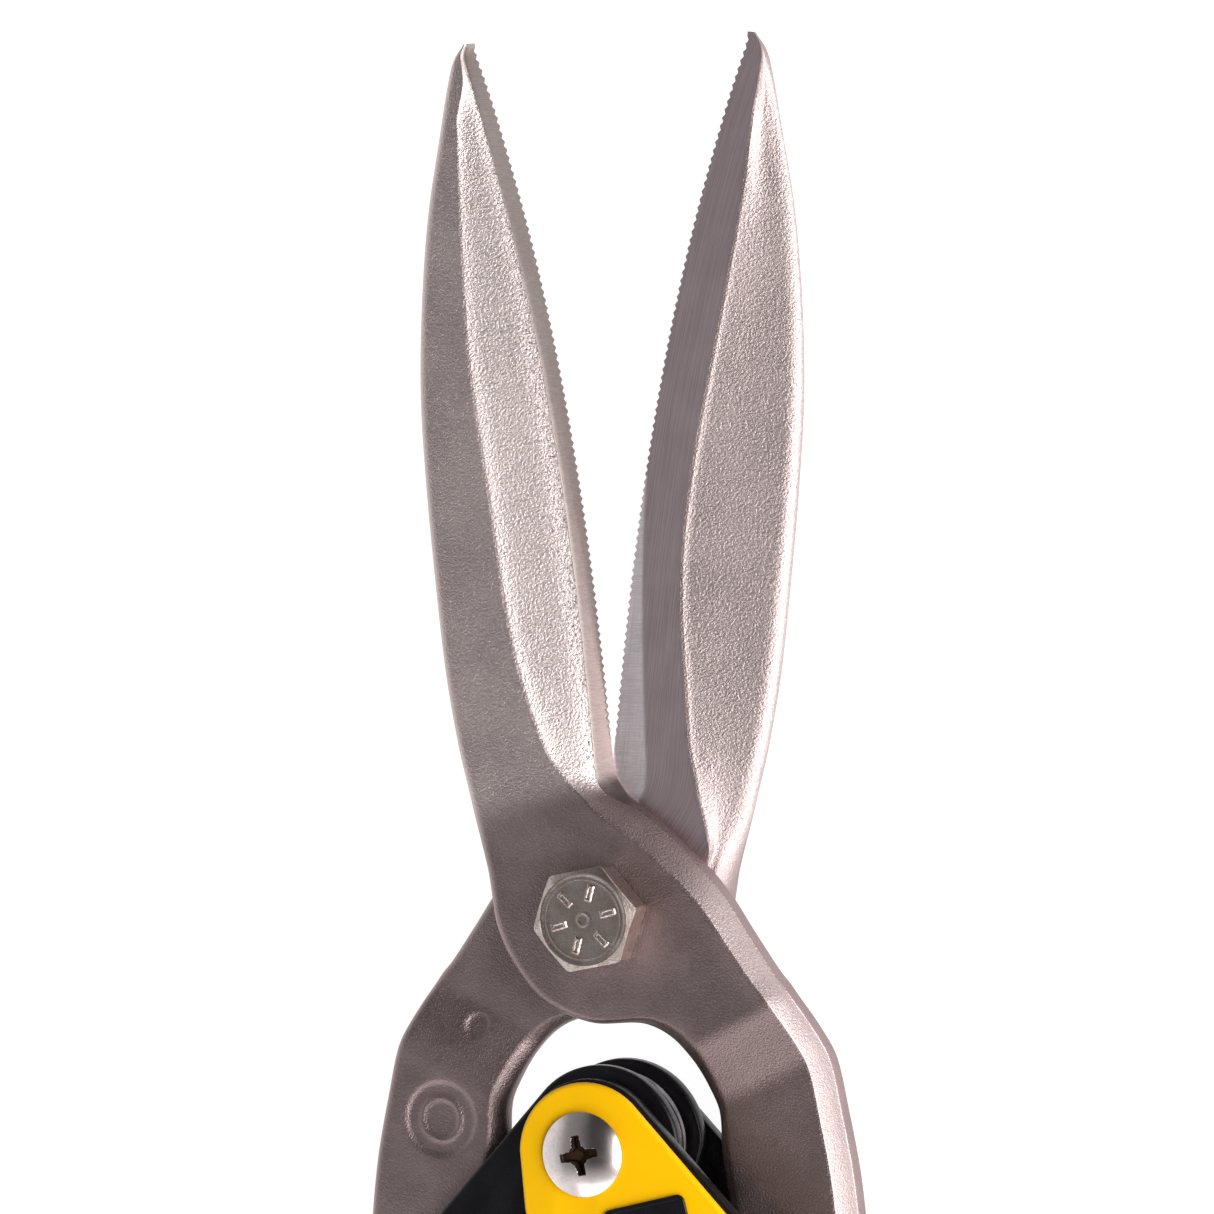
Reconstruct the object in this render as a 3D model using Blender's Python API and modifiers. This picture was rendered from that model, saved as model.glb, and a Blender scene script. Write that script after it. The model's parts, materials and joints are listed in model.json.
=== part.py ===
# Long-cut aviation snips, modelled open. Tool frame: X right, Y toward the tips, Z toward the user,
# with the blade pivot at X = Y = 0 and the mating plane of the blades at Z = 0. Lengths in mm,
# turned into metres when a mesh is made; WORLD_SHIFT puts the origin under the middle of the tool.
import bpy
import bmesh
import numpy as np
from math import asin, atan2, cos, degrees, hypot, pi, radians, sin
from mathutils import Vector

for old in list(bpy.data.objects):
    bpy.data.objects.remove(old)

MM = 0.001
WORLD_SHIFT = (0.0, 30.75, 12.4)

# Linkage
PIVOT_TO_HANDLE_PIVOT = 30.4
ARM_PIN_X = 25.0
ARM_PIN_Y = -58.0
CLEARANCE = 0.3
OPEN_PIVOT_CLEARANCE = 0.6

# Forgings
TIP_Y = 115.0
THROAT_Y = 21.6
FORGING_T = 6.0
FACE_GAP = 0.15
TIP_T = 3.2
LAND_Z = 3.0
RECESS_STEP = 0.5
RECESS_DEEP = 1.5
ARM_END_R = 8.2
JOGGLE = 3.0
STATIONS_PER_SPAN = 2

# Blade pivot
BOLT_R = 4.0
HEX_ACROSS_FLATS = 12.7
HEAD_Z = 10.9
HEX_TURN = radians(11.5)
WASHER_R = 8.0
WASHER_Z = (-7.4, -6.3)
NUT_Z = (-11.7, -7.7)
BOLT_END_Z = -12.4

# Handle channels
SHEET = 2.0
LEFT_CHEEKS = (-5.4, 5.4)
RIGHT_CHEEKS = (-7.6, 9.2)
LEFT_EAR_R = 10.9
RIGHT_EAR_R = 9.5
PIN_EYE_R = 10.5
CHANNEL_HALF = 8.3
GRIP_REACH = 119.0
GRIP_ANGLE = radians(21.6)
GRIP_BOW = 4.0
WEB_START = 0.15

# Cover and label plate
COVER_Z = (9.5, 11.0)
COVER_R = 9.2
COVER_REACH = 29.5
LABEL_SIZE = (11.5, 13.0)
LABEL_TILT = radians(14.5)
LABEL_MIDDLE = (9.8, -42.6)
LABEL_Z = (11.1, 11.5)

# Grips
GRIP_START = 0.285
GRIP_HALF = 12.2
GRIP_Z = (-12.4, 11.8)
GRIP_OVER = 5.0
COLLAR_EXTRA = 1.6
INLAY_HALF = 4.2
INLAY_SPAN = (0.40, 0.90)
INLAY_Z = (10.7, 12.1)

# Handle pivot
BARREL_R = 4.0
BARREL_Z = (-9.4, 9.1)
BARREL_FLANGE = (7.0, -7.9)
SCREW_HEAD_R = 5.5
SCREW_HEAD_Z = (11.3, 13.2)
SCREW_SHANK_R = 2.6
SCREW_END_Z = -8.6
SLOT_REACH = 2.2
SLOT_HALF = 0.45
BUSH_R = (7.0, 4.3)
BUSH_Z = 3.0

# Spring
WIRE_R = 1.2
COIL_R = 8.8
COIL_RISE = 1.76
LEG_ANGLE = radians(12.0)

# Arm pins
PIN_R = 3.0
PIN_HEAD_R = 4.4
PIN_HEAD_H = 1.2
SPACER_R = 6.0

# Latch
LATCH_REACH = 48.0
LATCH_ANGLE = radians(28.0)
LATCH_Z = (9.5, 11.0)
LATCH_ARM = 15.0
LATCH_PARKED = radians(29.6)
STUD_R = 1.6
RIVET_R = 1.8
CAP_Z = (11.3, 12.3)
THUMB_R = 2.4
THUMB_TOP = 13.0
THUMB_ROOT = 10.2

pivot = (0.0, 0.0)
handlePivot = (0.0, -PIVOT_TO_HANDLE_PIVOT)
rightPin = (ARM_PIN_X, ARM_PIN_Y)
leftPin = (-ARM_PIN_X, ARM_PIN_Y)
gripAxis = (sin(GRIP_ANGLE), -cos(GRIP_ANGLE))
gripOut = (cos(GRIP_ANGLE), sin(GRIP_ANGLE))

parts = bpy.data.collections.new("aviation_snips")
cutters = bpy.data.collections.new("cutters")
cutters.hide_render = True
for group in (parts, cutters):
    bpy.context.scene.collection.children.link(group)


def paint(name, colour, roughness, metallic):
    """One Principled material."""
    made = bpy.data.materials.new(name)
    made.use_nodes = True
    shader = made.node_tree.nodes["Principled BSDF"]
    shader.inputs["Base Color"].default_value = (*colour, 1.0)
    shader.inputs["Roughness"].default_value = roughness
    shader.inputs["Metallic"].default_value = metallic
    return made


forged = ((0.36, 0.34, 0.32), 0.45, 1.0)
nickel = ((0.62, 0.61, 0.58), 0.25, 1.0)
gunmetal = ((0.16, 0.15, 0.15), 0.35, 1.0)
blackPaint = ((0.025, 0.025, 0.028), 0.35, 0.0)
yellow = ((0.95, 0.55, 0.01), 0.35, 0.0)
rubber = ((0.03, 0.03, 0.03), 0.7, 0.0)


def smooth_line(points, per_span):
    """Catmull-Rom curve through the points, per_span steps in each span."""
    p = np.array(points, float)
    p = np.vstack([2 * p[0] - p[1], p, 2 * p[-1] - p[-2]])
    out = []
    for k in range(1, len(p) - 2):
        for t in np.arange(per_span) / per_span:
            a = 2 * p[k]
            b = p[k + 1] - p[k - 1]
            c = 2 * p[k - 1] - 5 * p[k] + 4 * p[k + 1] - p[k + 2]
            d = -p[k - 1] + 3 * p[k] - 3 * p[k + 1] + p[k + 2]
            out.append(0.5 * (a + b * t + c * t * t + d * t ** 3))
    out.append(p[-2])
    return [tuple(q) for q in out]


def arc(centre, radius, start, end, steps):
    """Points on an arc, angles in degrees from +X."""
    turn = np.radians(np.linspace(start, end, steps + 1))
    return [(centre[0] + radius * cos(a), centre[1] + radius * sin(a)) for a in turn]


def mirrored(points):
    return [(-x, y) for x, y in points]


def in_world(x, y, z, origin):
    shifted = (x + WORLD_SHIFT[0] - origin[0], y + WORLD_SHIFT[1] - origin[1])
    return Vector((shifted[0], shifted[1], z + WORLD_SHIFT[2])) * MM


def settle(obj, name, look, origin, cutter):
    """Names the object, gives it its material and puts it in its collection."""
    obj.name = name
    obj.location = (origin[0] * MM, origin[1] * MM, 0.0)
    if cutter:
        cutters.objects.link(obj)
        obj.hide_render = True
        obj.display_type = "WIRE"
    else:
        parts.objects.link(obj)
        obj.data.materials.append(paint(name, *look))
    return obj


def world_origin(axis):
    return (axis[0] + WORLD_SHIFT[0], axis[1] + WORLD_SHIFT[1])


def loft(name, rings, look=forged, axis=pivot, cutter=False):
    """Closed body through rings of equal point count, capped at both ends."""
    origin = world_origin(axis)
    mesh = bmesh.new()
    rows = [[mesh.verts.new(in_world(*p, origin)) for p in ring] for ring in rings]
    count = len(rings[0])
    for one, two in zip(rows[:-1], rows[1:]):
        for k in range(count):
            n = (k + 1) % count
            mesh.faces.new((one[k], one[n], two[n], two[k]))
    mesh.faces.new(rows[0][::-1])
    mesh.faces.new(rows[-1])
    bmesh.ops.recalc_face_normals(mesh, faces=mesh.faces)
    data = bpy.data.meshes.new(name)
    mesh.to_mesh(data)
    mesh.free()
    return settle(bpy.data.objects.new(name, data), name, look, origin, cutter)


def curve_to_mesh(curve, weld):
    """The curve as a closed mesh with its caps welded."""
    made = bpy.data.objects.new("guide", curve)
    cutters.objects.link(made)
    bpy.context.view_layer.update()
    seen = made.evaluated_get(bpy.context.evaluated_depsgraph_get())
    data = bpy.data.meshes.new_from_object(seen)
    mesh = bmesh.new()
    mesh.from_mesh(data)
    bmesh.ops.remove_doubles(mesh, verts=mesh.verts, dist=weld)
    bmesh.ops.recalc_face_normals(mesh, faces=mesh.faces)
    mesh.to_mesh(data)
    mesh.free()
    data.materials.clear()
    bpy.data.objects.remove(made)
    return data


def plate(name, outline, z, look=forged, axis=pivot, cutter=False):
    """Flat plate: a filled outline given a thickness from z[0] to z[1]."""
    origin = world_origin(axis)
    curve = bpy.data.curves.new(name, "CURVE")
    curve.dimensions = "2D"
    curve.fill_mode = "BOTH"
    curve.extrude = (z[1] - z[0]) / 2 * MM
    line = curve.splines.new("POLY")
    line.points.add(len(outline) - 1)
    middle = (z[0] + z[1]) / 2
    for point, (x, y) in zip(line.points, outline):
        at = in_world(x, y, middle, origin)
        point.co = (at.x, at.y, 0.0, 1.0)
    line.use_cyclic_u = True
    data = curve_to_mesh(curve, 1e-6)
    for v in data.vertices:
        v.co.z += (middle + WORLD_SHIFT[2]) * MM
    return settle(bpy.data.objects.new(name, data), name, look, origin, cutter)


def turned(name, centre, profile, look=nickel, steps=28, cutter=False):
    """Turned piece: (radius, z) profile swept round a Z axis by a Screw modifier."""
    origin = world_origin(centre)
    data = bpy.data.meshes.new(name)
    verts = [(r * MM, 0.0, (z + WORLD_SHIFT[2]) * MM) for r, z in profile]
    edges = [(k, k + 1) for k in range(len(verts) - 1)]
    if profile[0][0] > 0:
        edges.append((len(verts) - 1, 0))
    data.from_pydata(verts, edges, [])
    made = settle(bpy.data.objects.new(name, data), name, look, origin, cutter)
    turn = made.modifiers.new("turn", "SCREW")
    turn.steps = steps
    turn.render_steps = steps
    turn.use_merge_vertices = True
    turn.merge_threshold = 1e-5
    return made


def rod_cutter(name, centre, radius, z=(-30.0, 30.0)):
    return turned(name, centre, [(0, z[1]), (radius, z[1]), (radius, z[0]), (0, z[0])], cutter=True)


def cut(obj, cutter, operation="DIFFERENCE"):
    boolean = obj.modifiers.new(cutter.name, "BOOLEAN")
    boolean.operation = operation
    boolean.object = cutter
    boolean.solver = "EXACT"


# ---- Forgings -------------------------------------------------------------------------------

def edge_x(y):
    """Cutting edge of the front blade: X at height y, a gently bowed cubic."""
    t = y - THROAT_Y
    return -(0.1011 * t + 0.00051 * t ** 2 + 7.13e-6 * t ** 3) - 0.05


edgeHeights = (113.4, 110.0, 104.0, 92.0, 80.0, 68.0, 56.0, 44.0, 32.0, THROAT_Y)
edgeSide = [(-19.55, TIP_Y)] + [(edge_x(y), y) for y in edgeHeights]
# Throat notch, then the outer side of the boss and of the arm
edgeSide += [(0.25, 19.4), (0.7, 17.9), (1.6, 16.8), (2.6, 15.8), (3.9, 14.8), (6.6, 12.9)]
edgeSide += [(11.4, 8.9), (16.4, 3.8), (20.4, -2.0), (23.6, -6.6), (26.1, -9.8), (30.1, -17.3)]
edgeSide += [(32.0, -25.0), (33.7, -34.0), (34.6, -44.0), (34.2, -52.0), (33.2, -58.0)]
spineSide = [(-20.3, 114.9), (-21.6, 112.5), (-22.3, 108.7), (-23.1, 103.0), (-24.75, 92.0)]
spineSide += [(-25.55, 80.0), (-25.6, 68.0), (-24.8, 56.0), (-23.6, 44.0), (-22.15, 32.0)]
spineSide += [(-20.4, 22.5), (-19.0, 16.8), (-17.9, 12.5), (-16.8, 9.0), (-15.9, 5.6)]
# Round the back of the boss and down the inner side of the arm
spineSide += [(-15.3, 2.0), (-14.6, -1.8), (-12.4, -6.5), (-8.2, -11.3), (-1.5, -14.0)]
spineSide += [(5.8, -14.2), (11.2, -17.7), (14.9, -24.7), (15.5, -31.0), (16.7, -38.0)]
spineSide += [(17.9, -45.0), (17.6, -52.0), (16.8, -58.0)]
for lean in (35.0, 65.0, 80.0):
    drop = radians(lean)
    half = ARM_END_R * cos(drop)
    low = ARM_PIN_Y - ARM_END_R * sin(drop)
    edgeSide.append((ARM_PIN_X + half, low))
    spineSide.append((ARM_PIN_X - half, low))

# Section measures at chosen stations: station number, then the value
crestAt = ((0, 0.35), (1, 0.8), (2, 2.2), (3, 4.6), (4, 7.8), (5, 10.2), (6, 11.2), (8, 11.25))
crestAt += ((9, 10.6), (10, 8.1), (11, 5.6), (12, 3.2), (13, 2.4), (14, 2.2), (31, 2.2))
stripAt = ((0, 0.2), (1, 0.9), (2, 0.85), (3, 0.6), (4, 0.45), (5, 0.385), (6, 0.33))
stripAt += ((7, 0.30), (8, 0.31), (9, 0.41), (10, 0.51), (11, 0.6), (12, 0.67), (13, 0.8))
stripAt += ((14, 0.89), (15, 0.95), (31, 0.95))
crownAt = ((0, 1.4), (1, 2.5), (2, TIP_T), (3, TIP_T + 0.5), (6, 5.1), (10, 5.75), (13, 5.75))
crownAt += ((15, FORGING_T), (31, FORGING_T))
recessAt = ((0, 0.3), (2, 1.0), (12, 1.0), (15, 0.0), (31, 0.0))
landAt = ((0, 0.35), (1, 0.7), (4, 1.2), (12, 1.4), (14, 0.8), (31, 0.8))
landUpAt = ((0, 0.9), (1, 1.6), (4, 2.7), (9, LAND_Z), (31, LAND_Z))
bladeAt = ((0, 1.0), (11, 1.0), (13, 0.0), (31, 0.0))
sinkAt = ((0, 0.0), (21, 0.0), (22, 1.0), (31, 1.0))
reliefAt = ((0, 0.0), (19, 0.0), (20, 1.0), (21, 1.0), (22, 0.3), (31, 0.0))


def read_off(table, station):
    return float(np.interp(station, [k for k, _ in table], [v for _, v in table]))


def forging_ring(station, right, left):
    """One section from the edge side (right) to the spine side (left), front then back."""
    width = hypot(left[0] - right[0], left[1] - right[1])
    sink = -JOGGLE * read_off(sinkAt, station)
    top = read_off(crownAt, station)
    blade = read_off(bladeAt, station)
    land = min(read_off(landAt, station), 0.3 * width)
    up = min(read_off(landUpAt, station), top - 0.4)
    crest = min(read_off(crestAt, station), 0.6 * width)
    crest = max(crest, land + 0.2)
    relief = read_off(reliefAt, station)
    shoulder = min(0.8 + 1.6 * relief, 0.25 * width)
    wall = top - 0.8 - 2.15 * relief
    deep = read_off(recessAt, station)
    strip = min(read_off(stripAt, station) * width, width - 0.9)
    strip = max(strip, 0.15 * width)
    hollow = up + (top - up) * (0.42 * blade + 0.6 * (1 - blade))
    band = up + (top - up) * (0.26 * blade + 0.3 * (1 - blade))
    low = FACE_GAP
    section = [
        (0.0, low),
        (land, up),
        (land + 0.2 * (crest - land), band),
        (land + 0.6 * (crest - land), hollow),
        (crest, top),
        (width - shoulder, top),
        (width, wall),
        (width, low + RECESS_DEEP * deep + 0.6),
        (width - 0.5, low + RECESS_DEEP * deep),
        (strip + 0.35, low + RECESS_STEP * deep),
        (strip, low),
    ]
    along = ((left[0] - right[0]) / width, (left[1] - right[1]) / width)
    return [(right[0] + along[0] * d, right[1] + along[1] * d, z + sink) for d, z in section]


def forging(name, turn):
    """The forging; turn -1 gives the same piece turned half round about the Y axis."""
    rights = smooth_line(edgeSide, STATIONS_PER_SPAN)
    lefts = smooth_line(spineSide, STATIONS_PER_SPAN)
    rings = []
    for k, (right, left) in enumerate(zip(rights, lefts)):
        ring = forging_ring(k / STATIONS_PER_SPAN, right, left)
        rings.append([(turn * x, y, turn * z) for x, y, z in ring])
    return loft(name, rings)


frontForging = forging("blade_front", 1)
rearForging = forging("blade_rear", -1)
boltHole = rod_cutter("cut_bolt_hole", pivot, BOLT_R + CLEARANCE)
for piece in (frontForging, rearForging):
    cut(piece, boltHole)
cut(frontForging, rod_cutter("cut_open_pin_hole", rightPin, PIN_R + OPEN_PIVOT_CLEARANCE))
cut(rearForging, rod_cutter("cut_left_pin_hole", leftPin, PIN_R + CLEARANCE))

# ---- Blade pivot ----------------------------------------------------------------------------

hexR = HEX_ACROSS_FLATS / 2 / cos(pi / 6)


def hexagon(turn):
    return [(hexR * cos(turn + k * pi / 3), hexR * sin(turn + k * pi / 3)) for k in range(6)]


boltUnder = FORGING_T + CLEARANCE
flatR = HEX_ACROSS_FLATS / 2 - 0.25
boltBody = plate("pivot_bolt", hexagon(HEX_TURN), (boltUnder, HEAD_Z), nickel)
headRound = turned(
    "cut_head_round",
    pivot,
    [(0, HEAD_Z), (flatR, HEAD_Z), (hexR + 0.3, HEAD_Z - 0.9), (hexR + 0.3, 0), (0, 0)],
    cutter=True,
)
cut(boltBody, headRound, "INTERSECT")
shank = [(0, boltUnder + 1), (BOLT_R, boltUnder + 1), (BOLT_R, BOLT_END_Z + 0.5)]
shank += [(BOLT_R - 0.5, BOLT_END_Z), (0, BOLT_END_Z)]
cut(boltBody, turned("join_bolt_shank", pivot, shank, cutter=True), "UNION")

holeR = BOLT_R + CLEARANCE
ring = [(holeR, WASHER_Z[1]), (WASHER_R, WASHER_Z[1]), (WASHER_R, WASHER_Z[0]), (holeR, WASHER_Z[0])]
turned("pivot_washer", pivot, ring)
nutBody = plate("pivot_nut", hexagon(0.4), NUT_Z, nickel)
cut(nutBody, boltHole)

# ---- Handle channels ------------------------------------------------------------------------


def grip_point(t, side):
    """Point at fraction t along the right grip's bowed centre line, side mm to its outer side."""
    s = t * GRIP_REACH
    out = side + GRIP_BOW * 4 * t * (1 - t)
    x = ARM_PIN_X + gripAxis[0] * s + gripOut[0] * out
    y = ARM_PIN_Y + gripAxis[1] * s + gripOut[1] * out
    return (x, y)


toPin = (ARM_PIN_X - handlePivot[0], ARM_PIN_Y - handlePivot[1])
pinSpan = hypot(*toPin)
pinAngle = degrees(atan2(toPin[0], -toPin[1]))
crotch = [(14.0, -75.0), (6.0, -66.0), (-1.0, -57.5), (-6.5, -48.0), (-8.8, -38.0)]


def cheek_outline(ear):
    """Outline of the right handle's side plate, with an ear of the given radius at the pivot."""
    bend = degrees(asin((ear - PIN_EYE_R) / pinSpan))
    line = arc(handlePivot, ear, 180, pinAngle + bend, 12)
    line += arc(rightPin, PIN_EYE_R, pinAngle + bend, 30, 3)
    line += [grip_point(t, CHANNEL_HALF) for t in np.linspace(0.12, 0.97, 9)]
    line += [grip_point(1.0, CHANNEL_HALF - 3.5), grip_point(1.0, 3.5 - CHANNEL_HALF)]
    line += [grip_point(t, -CHANNEL_HALF) for t in np.linspace(0.97, 0.3, 8)]
    line += smooth_line([grip_point(0.24, -CHANNEL_HALF - 0.6)] + crotch, 2)
    return line


def pocket_outline():
    """Space between the two side plates; it leaves only the web on the grip's outer side."""
    inside = CHANNEL_HALF - SHEET
    line = [grip_point(t, inside) for t in np.linspace(WEB_START, 1.05, 10)]
    line += [grip_point(t, -CHANNEL_HALF - 12) for t in np.linspace(1.05, 0.3, 6)]
    line += [(-30.0, -60.0), (-30.0, -10.0), (30.0, -8.0), (52.0, -35.0), (55.0, -62.0)]
    line += [grip_point(WEB_START, CHANNEL_HALF + 10)]
    return line


def channel(name, outline, pocket, cheeks, axis):
    body = plate(name, outline, cheeks, blackPaint, axis)
    inner = (cheeks[0] + SHEET, cheeks[1] - SHEET)
    cut(body, plate("cut_pocket_" + name, pocket, inner, cutter=True))
    return body


rightFrame = channel(
    "handle_frame_right", cheek_outline(RIGHT_EAR_R), pocket_outline(), RIGHT_CHEEKS, handlePivot
)
leftFrame = channel(
    "handle_frame_left",
    mirrored(cheek_outline(LEFT_EAR_R)),
    mirrored(pocket_outline()),
    LEFT_CHEEKS,
    leftPin,
)
barrelHole = rod_cutter("cut_barrel_hole", handlePivot, BARREL_R + CLEARANCE)
for frame, pin, name in ((rightFrame, rightPin, "right"), (leftFrame, leftPin, "left")):
    cut(frame, barrelHole)
    cut(frame, rod_cutter("cut_eye_" + name, pin, PIN_R + CLEARANCE))

# ---- Cover and label plate ------------------------------------------------------------------

along = (sin(radians(pinAngle)), -cos(radians(pinAngle)))
across = (-along[1], along[0])


def from_handle_pivot(reach, side):
    x = handlePivot[0] + along[0] * reach + across[0] * side
    y = handlePivot[1] + along[1] * reach + across[1] * side
    return (x, y)


coverLine = arc(handlePivot, COVER_R, 180, pinAngle, 14)
coverLine += [from_handle_pivot(COVER_REACH - 3, COVER_R + 0.5)]
coverLine += [from_handle_pivot(COVER_REACH, COVER_R - 2.5)]
coverLine += [from_handle_pivot(COVER_REACH, -13.0), from_handle_pivot(COVER_REACH - 2.5, -16.0)]
coverLine += smooth_line([(-0.2, -56.5), (-5.9, -47.8), (-8.5, -38.0)], 2)
cover = plate("handle_cover", coverLine, COVER_Z, yellow, handlePivot)
screwHole = rod_cutter("cut_screw_hole", handlePivot, SCREW_SHANK_R + CLEARANCE)
cut(cover, screwHole)

labelLine = []
for sx, sy, start in ((1, 1, 0), (-1, 1, 90), (-1, -1, 180), (1, -1, 270)):
    middle = (sx * (LABEL_SIZE[0] / 2 - 1), sy * (LABEL_SIZE[1] / 2 - 1))
    labelLine += arc(middle, 1.0, start, start + 90, 3)
tilt = (cos(LABEL_TILT), sin(LABEL_TILT))
labelLine = [
    (LABEL_MIDDLE[0] + x * tilt[0] - y * tilt[1], LABEL_MIDDLE[1] + x * tilt[1] + y * tilt[0])
    for x, y in labelLine
]
plate("cover_panel", labelLine, LABEL_Z, blackPaint, handlePivot)

# ---- Handle pivot ---------------------------------------------------------------------------

barrel = [(SCREW_SHANK_R + CLEARANCE, BARREL_Z[1]), (BARREL_R, BARREL_Z[1])]
barrel += [(BARREL_R, BARREL_FLANGE[1]), (BARREL_FLANGE[0], BARREL_FLANGE[1])]
barrel += [(BARREL_FLANGE[0], BARREL_Z[0]), (SCREW_SHANK_R + CLEARANCE, BARREL_Z[0])]
turned("handle_pivot_barrel", handlePivot, barrel, gunmetal)
rim, dome = SCREW_HEAD_Z
head = [(0, dome), (2.0, dome - 0.1), (3.8, dome - 0.5), (5.0, dome - 1.1), (SCREW_HEAD_R, rim + 0.3)]
head += [(SCREW_HEAD_R - 0.2, rim), (SCREW_SHANK_R, rim), (SCREW_SHANK_R, SCREW_END_Z)]
head += [(0, SCREW_END_Z)]
screw = turned("handle_pivot_screw", handlePivot, head)
for name, turn in (("a", 0.0), ("b", pi / 2)):
    slot = []
    for sx, sy in ((1, 1), (-1, 1), (-1, -1), (1, -1)):
        x = sx * SLOT_REACH
        y = sy * SLOT_HALF
        slot.append((x * cos(turn) - y * sin(turn), x * sin(turn) + y * cos(turn) + handlePivot[1]))
    cut(screw, plate("cut_slot_" + name, slot, (rim + 0.6, dome + 2), cutter=True))
bush = [(BUSH_R[1], BUSH_Z), (BUSH_R[0], BUSH_Z), (BUSH_R[0], -BUSH_Z), (BUSH_R[1], -BUSH_Z)]
turned("spring_bush", handlePivot, bush, gunmetal)

# ---- Torsion spring -------------------------------------------------------------------------


def spring_line():
    """Left leg, one and a half turns clockwise, right leg."""
    start = pi - LEG_ANGLE
    sweep = 2 * pi + start - LEG_ANGLE
    line = []
    for k in range(45):
        f = k / 44
        a = start - sweep * f
        x = handlePivot[0] + COIL_R * cos(a)
        y = handlePivot[1] + COIL_R * sin(a)
        line.append((x, y, COIL_RISE * (2 * f - 1)))
    x, y, z = line[-1]
    leg = [(x + sin(LEG_ANGLE) * d, y - cos(LEG_ANGLE) * d, z) for d in (3, 12, 24, 35)]
    foot = grip_point(0.30, CHANNEL_HALF - SHEET - WIRE_R - CLEARANCE)
    bend = leg[-1]
    leg += [(bend[0] + (foot[0] - bend[0]) * f, bend[1] + (foot[1] - bend[1]) * f, z) for f in (0.12, 1)]
    line += leg
    return [(-x, y, -z) for x, y, z in leg[::-1]] + line


coil = bpy.data.curves.new("spring", "CURVE")
coil.dimensions = "3D"
coil.bevel_depth = WIRE_R * MM
coil.bevel_resolution = 2
coil.use_fill_caps = True
wire = coil.splines.new("POLY")
springPoints = spring_line()
wire.points.add(len(springPoints) - 1)
springOrigin = world_origin(handlePivot)
for point, at in zip(wire.points, springPoints):
    point.co = (*in_world(*at, springOrigin), 1.0)
springMesh = curve_to_mesh(coil, 1e-6)
settle(bpy.data.objects.new("handle_spring", springMesh), "handle_spring", gunmetal, springOrigin, False)

# ---- Arm pins -------------------------------------------------------------------------------


def pin(name, centre, cheeks):
    top = cheeks[1] + CLEARANCE
    low = cheeks[0] - CLEARANCE
    line = [(0, top + PIN_HEAD_H), (PIN_HEAD_R - 0.5, top + PIN_HEAD_H), (PIN_HEAD_R, top + 0.6)]
    line += [(PIN_HEAD_R, top), (PIN_R, top), (PIN_R, low), (PIN_HEAD_R, low)]
    line += [(PIN_HEAD_R, low - 0.6), (PIN_HEAD_R - 0.5, low - PIN_HEAD_H), (0, low - PIN_HEAD_H)]
    return turned(name, centre, line, gunmetal)


pin("arm_pin_left", leftPin, LEFT_CHEEKS)
pin("arm_pin_right", rightPin, RIGHT_CHEEKS)
armFace = JOGGLE + CLEARANCE
inR = PIN_R + CLEARANCE
frontTop = RIGHT_CHEEKS[1] - SHEET - CLEARANCE
rearLow = RIGHT_CHEEKS[0] + SHEET + CLEARANCE
for name, low, top in (("front", armFace, frontTop), ("rear", rearLow, -armFace)):
    line = [(inR, top), (SPACER_R, top), (SPACER_R, low), (inR, low)]
    turned("arm_spacer_" + name, rightPin, line)

# ---- Latch ----------------------------------------------------------------------------------

latchPivot = (LATCH_REACH * sin(LATCH_ANGLE), handlePivot[1] - LATCH_REACH * cos(LATCH_ANGLE))
studAt = (-latchPivot[0], latchPivot[1])
latchDir = (sin(LATCH_PARKED), -cos(LATCH_PARKED))
latchLead = (latchDir[1], -latchDir[0])


def on_latch(a, b):
    x = latchPivot[0] + latchDir[0] * a + latchLead[0] * b
    y = latchPivot[1] + latchDir[1] * a + latchLead[1] * b
    return (x, y)


mouth = STUD_R + 0.4
latchLine = [on_latch(4 * cos(a), 4 * sin(a)) for a in np.radians(np.linspace(60, 300, 9))]
latchLine += [on_latch(12, -5.0), on_latch(17.5, -5.0), on_latch(19.6, -3.6), on_latch(19.6, 2.0)]
latchLine += [on_latch(19.0, 3.2), on_latch(LATCH_ARM + mouth, 3.2)]
for a in np.radians(np.linspace(0, -180, 7)):
    latchLine.append(on_latch(LATCH_ARM + mouth * cos(a), mouth * sin(a)))
latchLine += [on_latch(LATCH_ARM - mouth, 3.2), on_latch(10.5, 3.4)]
latch = plate("latch_plate", latchLine, LATCH_Z, nickel, latchPivot)
thumb = on_latch(8.4, -1.4)
button = [(0, THUMB_TOP), (THUMB_R - 0.4, THUMB_TOP), (THUMB_R, THUMB_TOP - 0.4)]
button += [(THUMB_R, THUMB_ROOT), (0, THUMB_ROOT)]
cut(latch, turned("join_thumb", thumb, button, cutter=True), "UNION")
cut(latch, rod_cutter("cut_latch_hole", latchPivot, RIVET_R + CLEARANCE))
cut(rightFrame, rod_cutter("cut_rivet_hole", latchPivot, RIVET_R + CLEARANCE, (3.0, 20.0)))
cut(leftFrame, rod_cutter("cut_stud_hole", studAt, STUD_R + CLEARANCE, (0.0, 20.0)))
capLow, capTop = CAP_Z
rivet = [(0, capTop), (2.8, capTop), (3.4, capLow + 0.5), (3.4, capLow), (RIVET_R, capLow)]
rivet += [(RIVET_R, 6.9), (3.0, 6.9), (3.0, 5.9), (0, 5.9)]
turned("latch_rivet", latchPivot, rivet, gunmetal, 20)
stud = [(0, capTop), (2.3, capTop), (2.7, capLow + 0.5), (2.7, capLow), (STUD_R, capLow)]
stud += [(STUD_R, 6.9), (3.0, 6.9), (3.0, 5.7), (STUD_R, 5.7), (STUD_R, 3.1), (2.6, 3.1)]
stud += [(2.6, 2.2), (0, 2.2)]
turned("latch_stud", studAt, stud, gunmetal, 20)

# ---- Grips ----------------------------------------------------------------------------------


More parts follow.
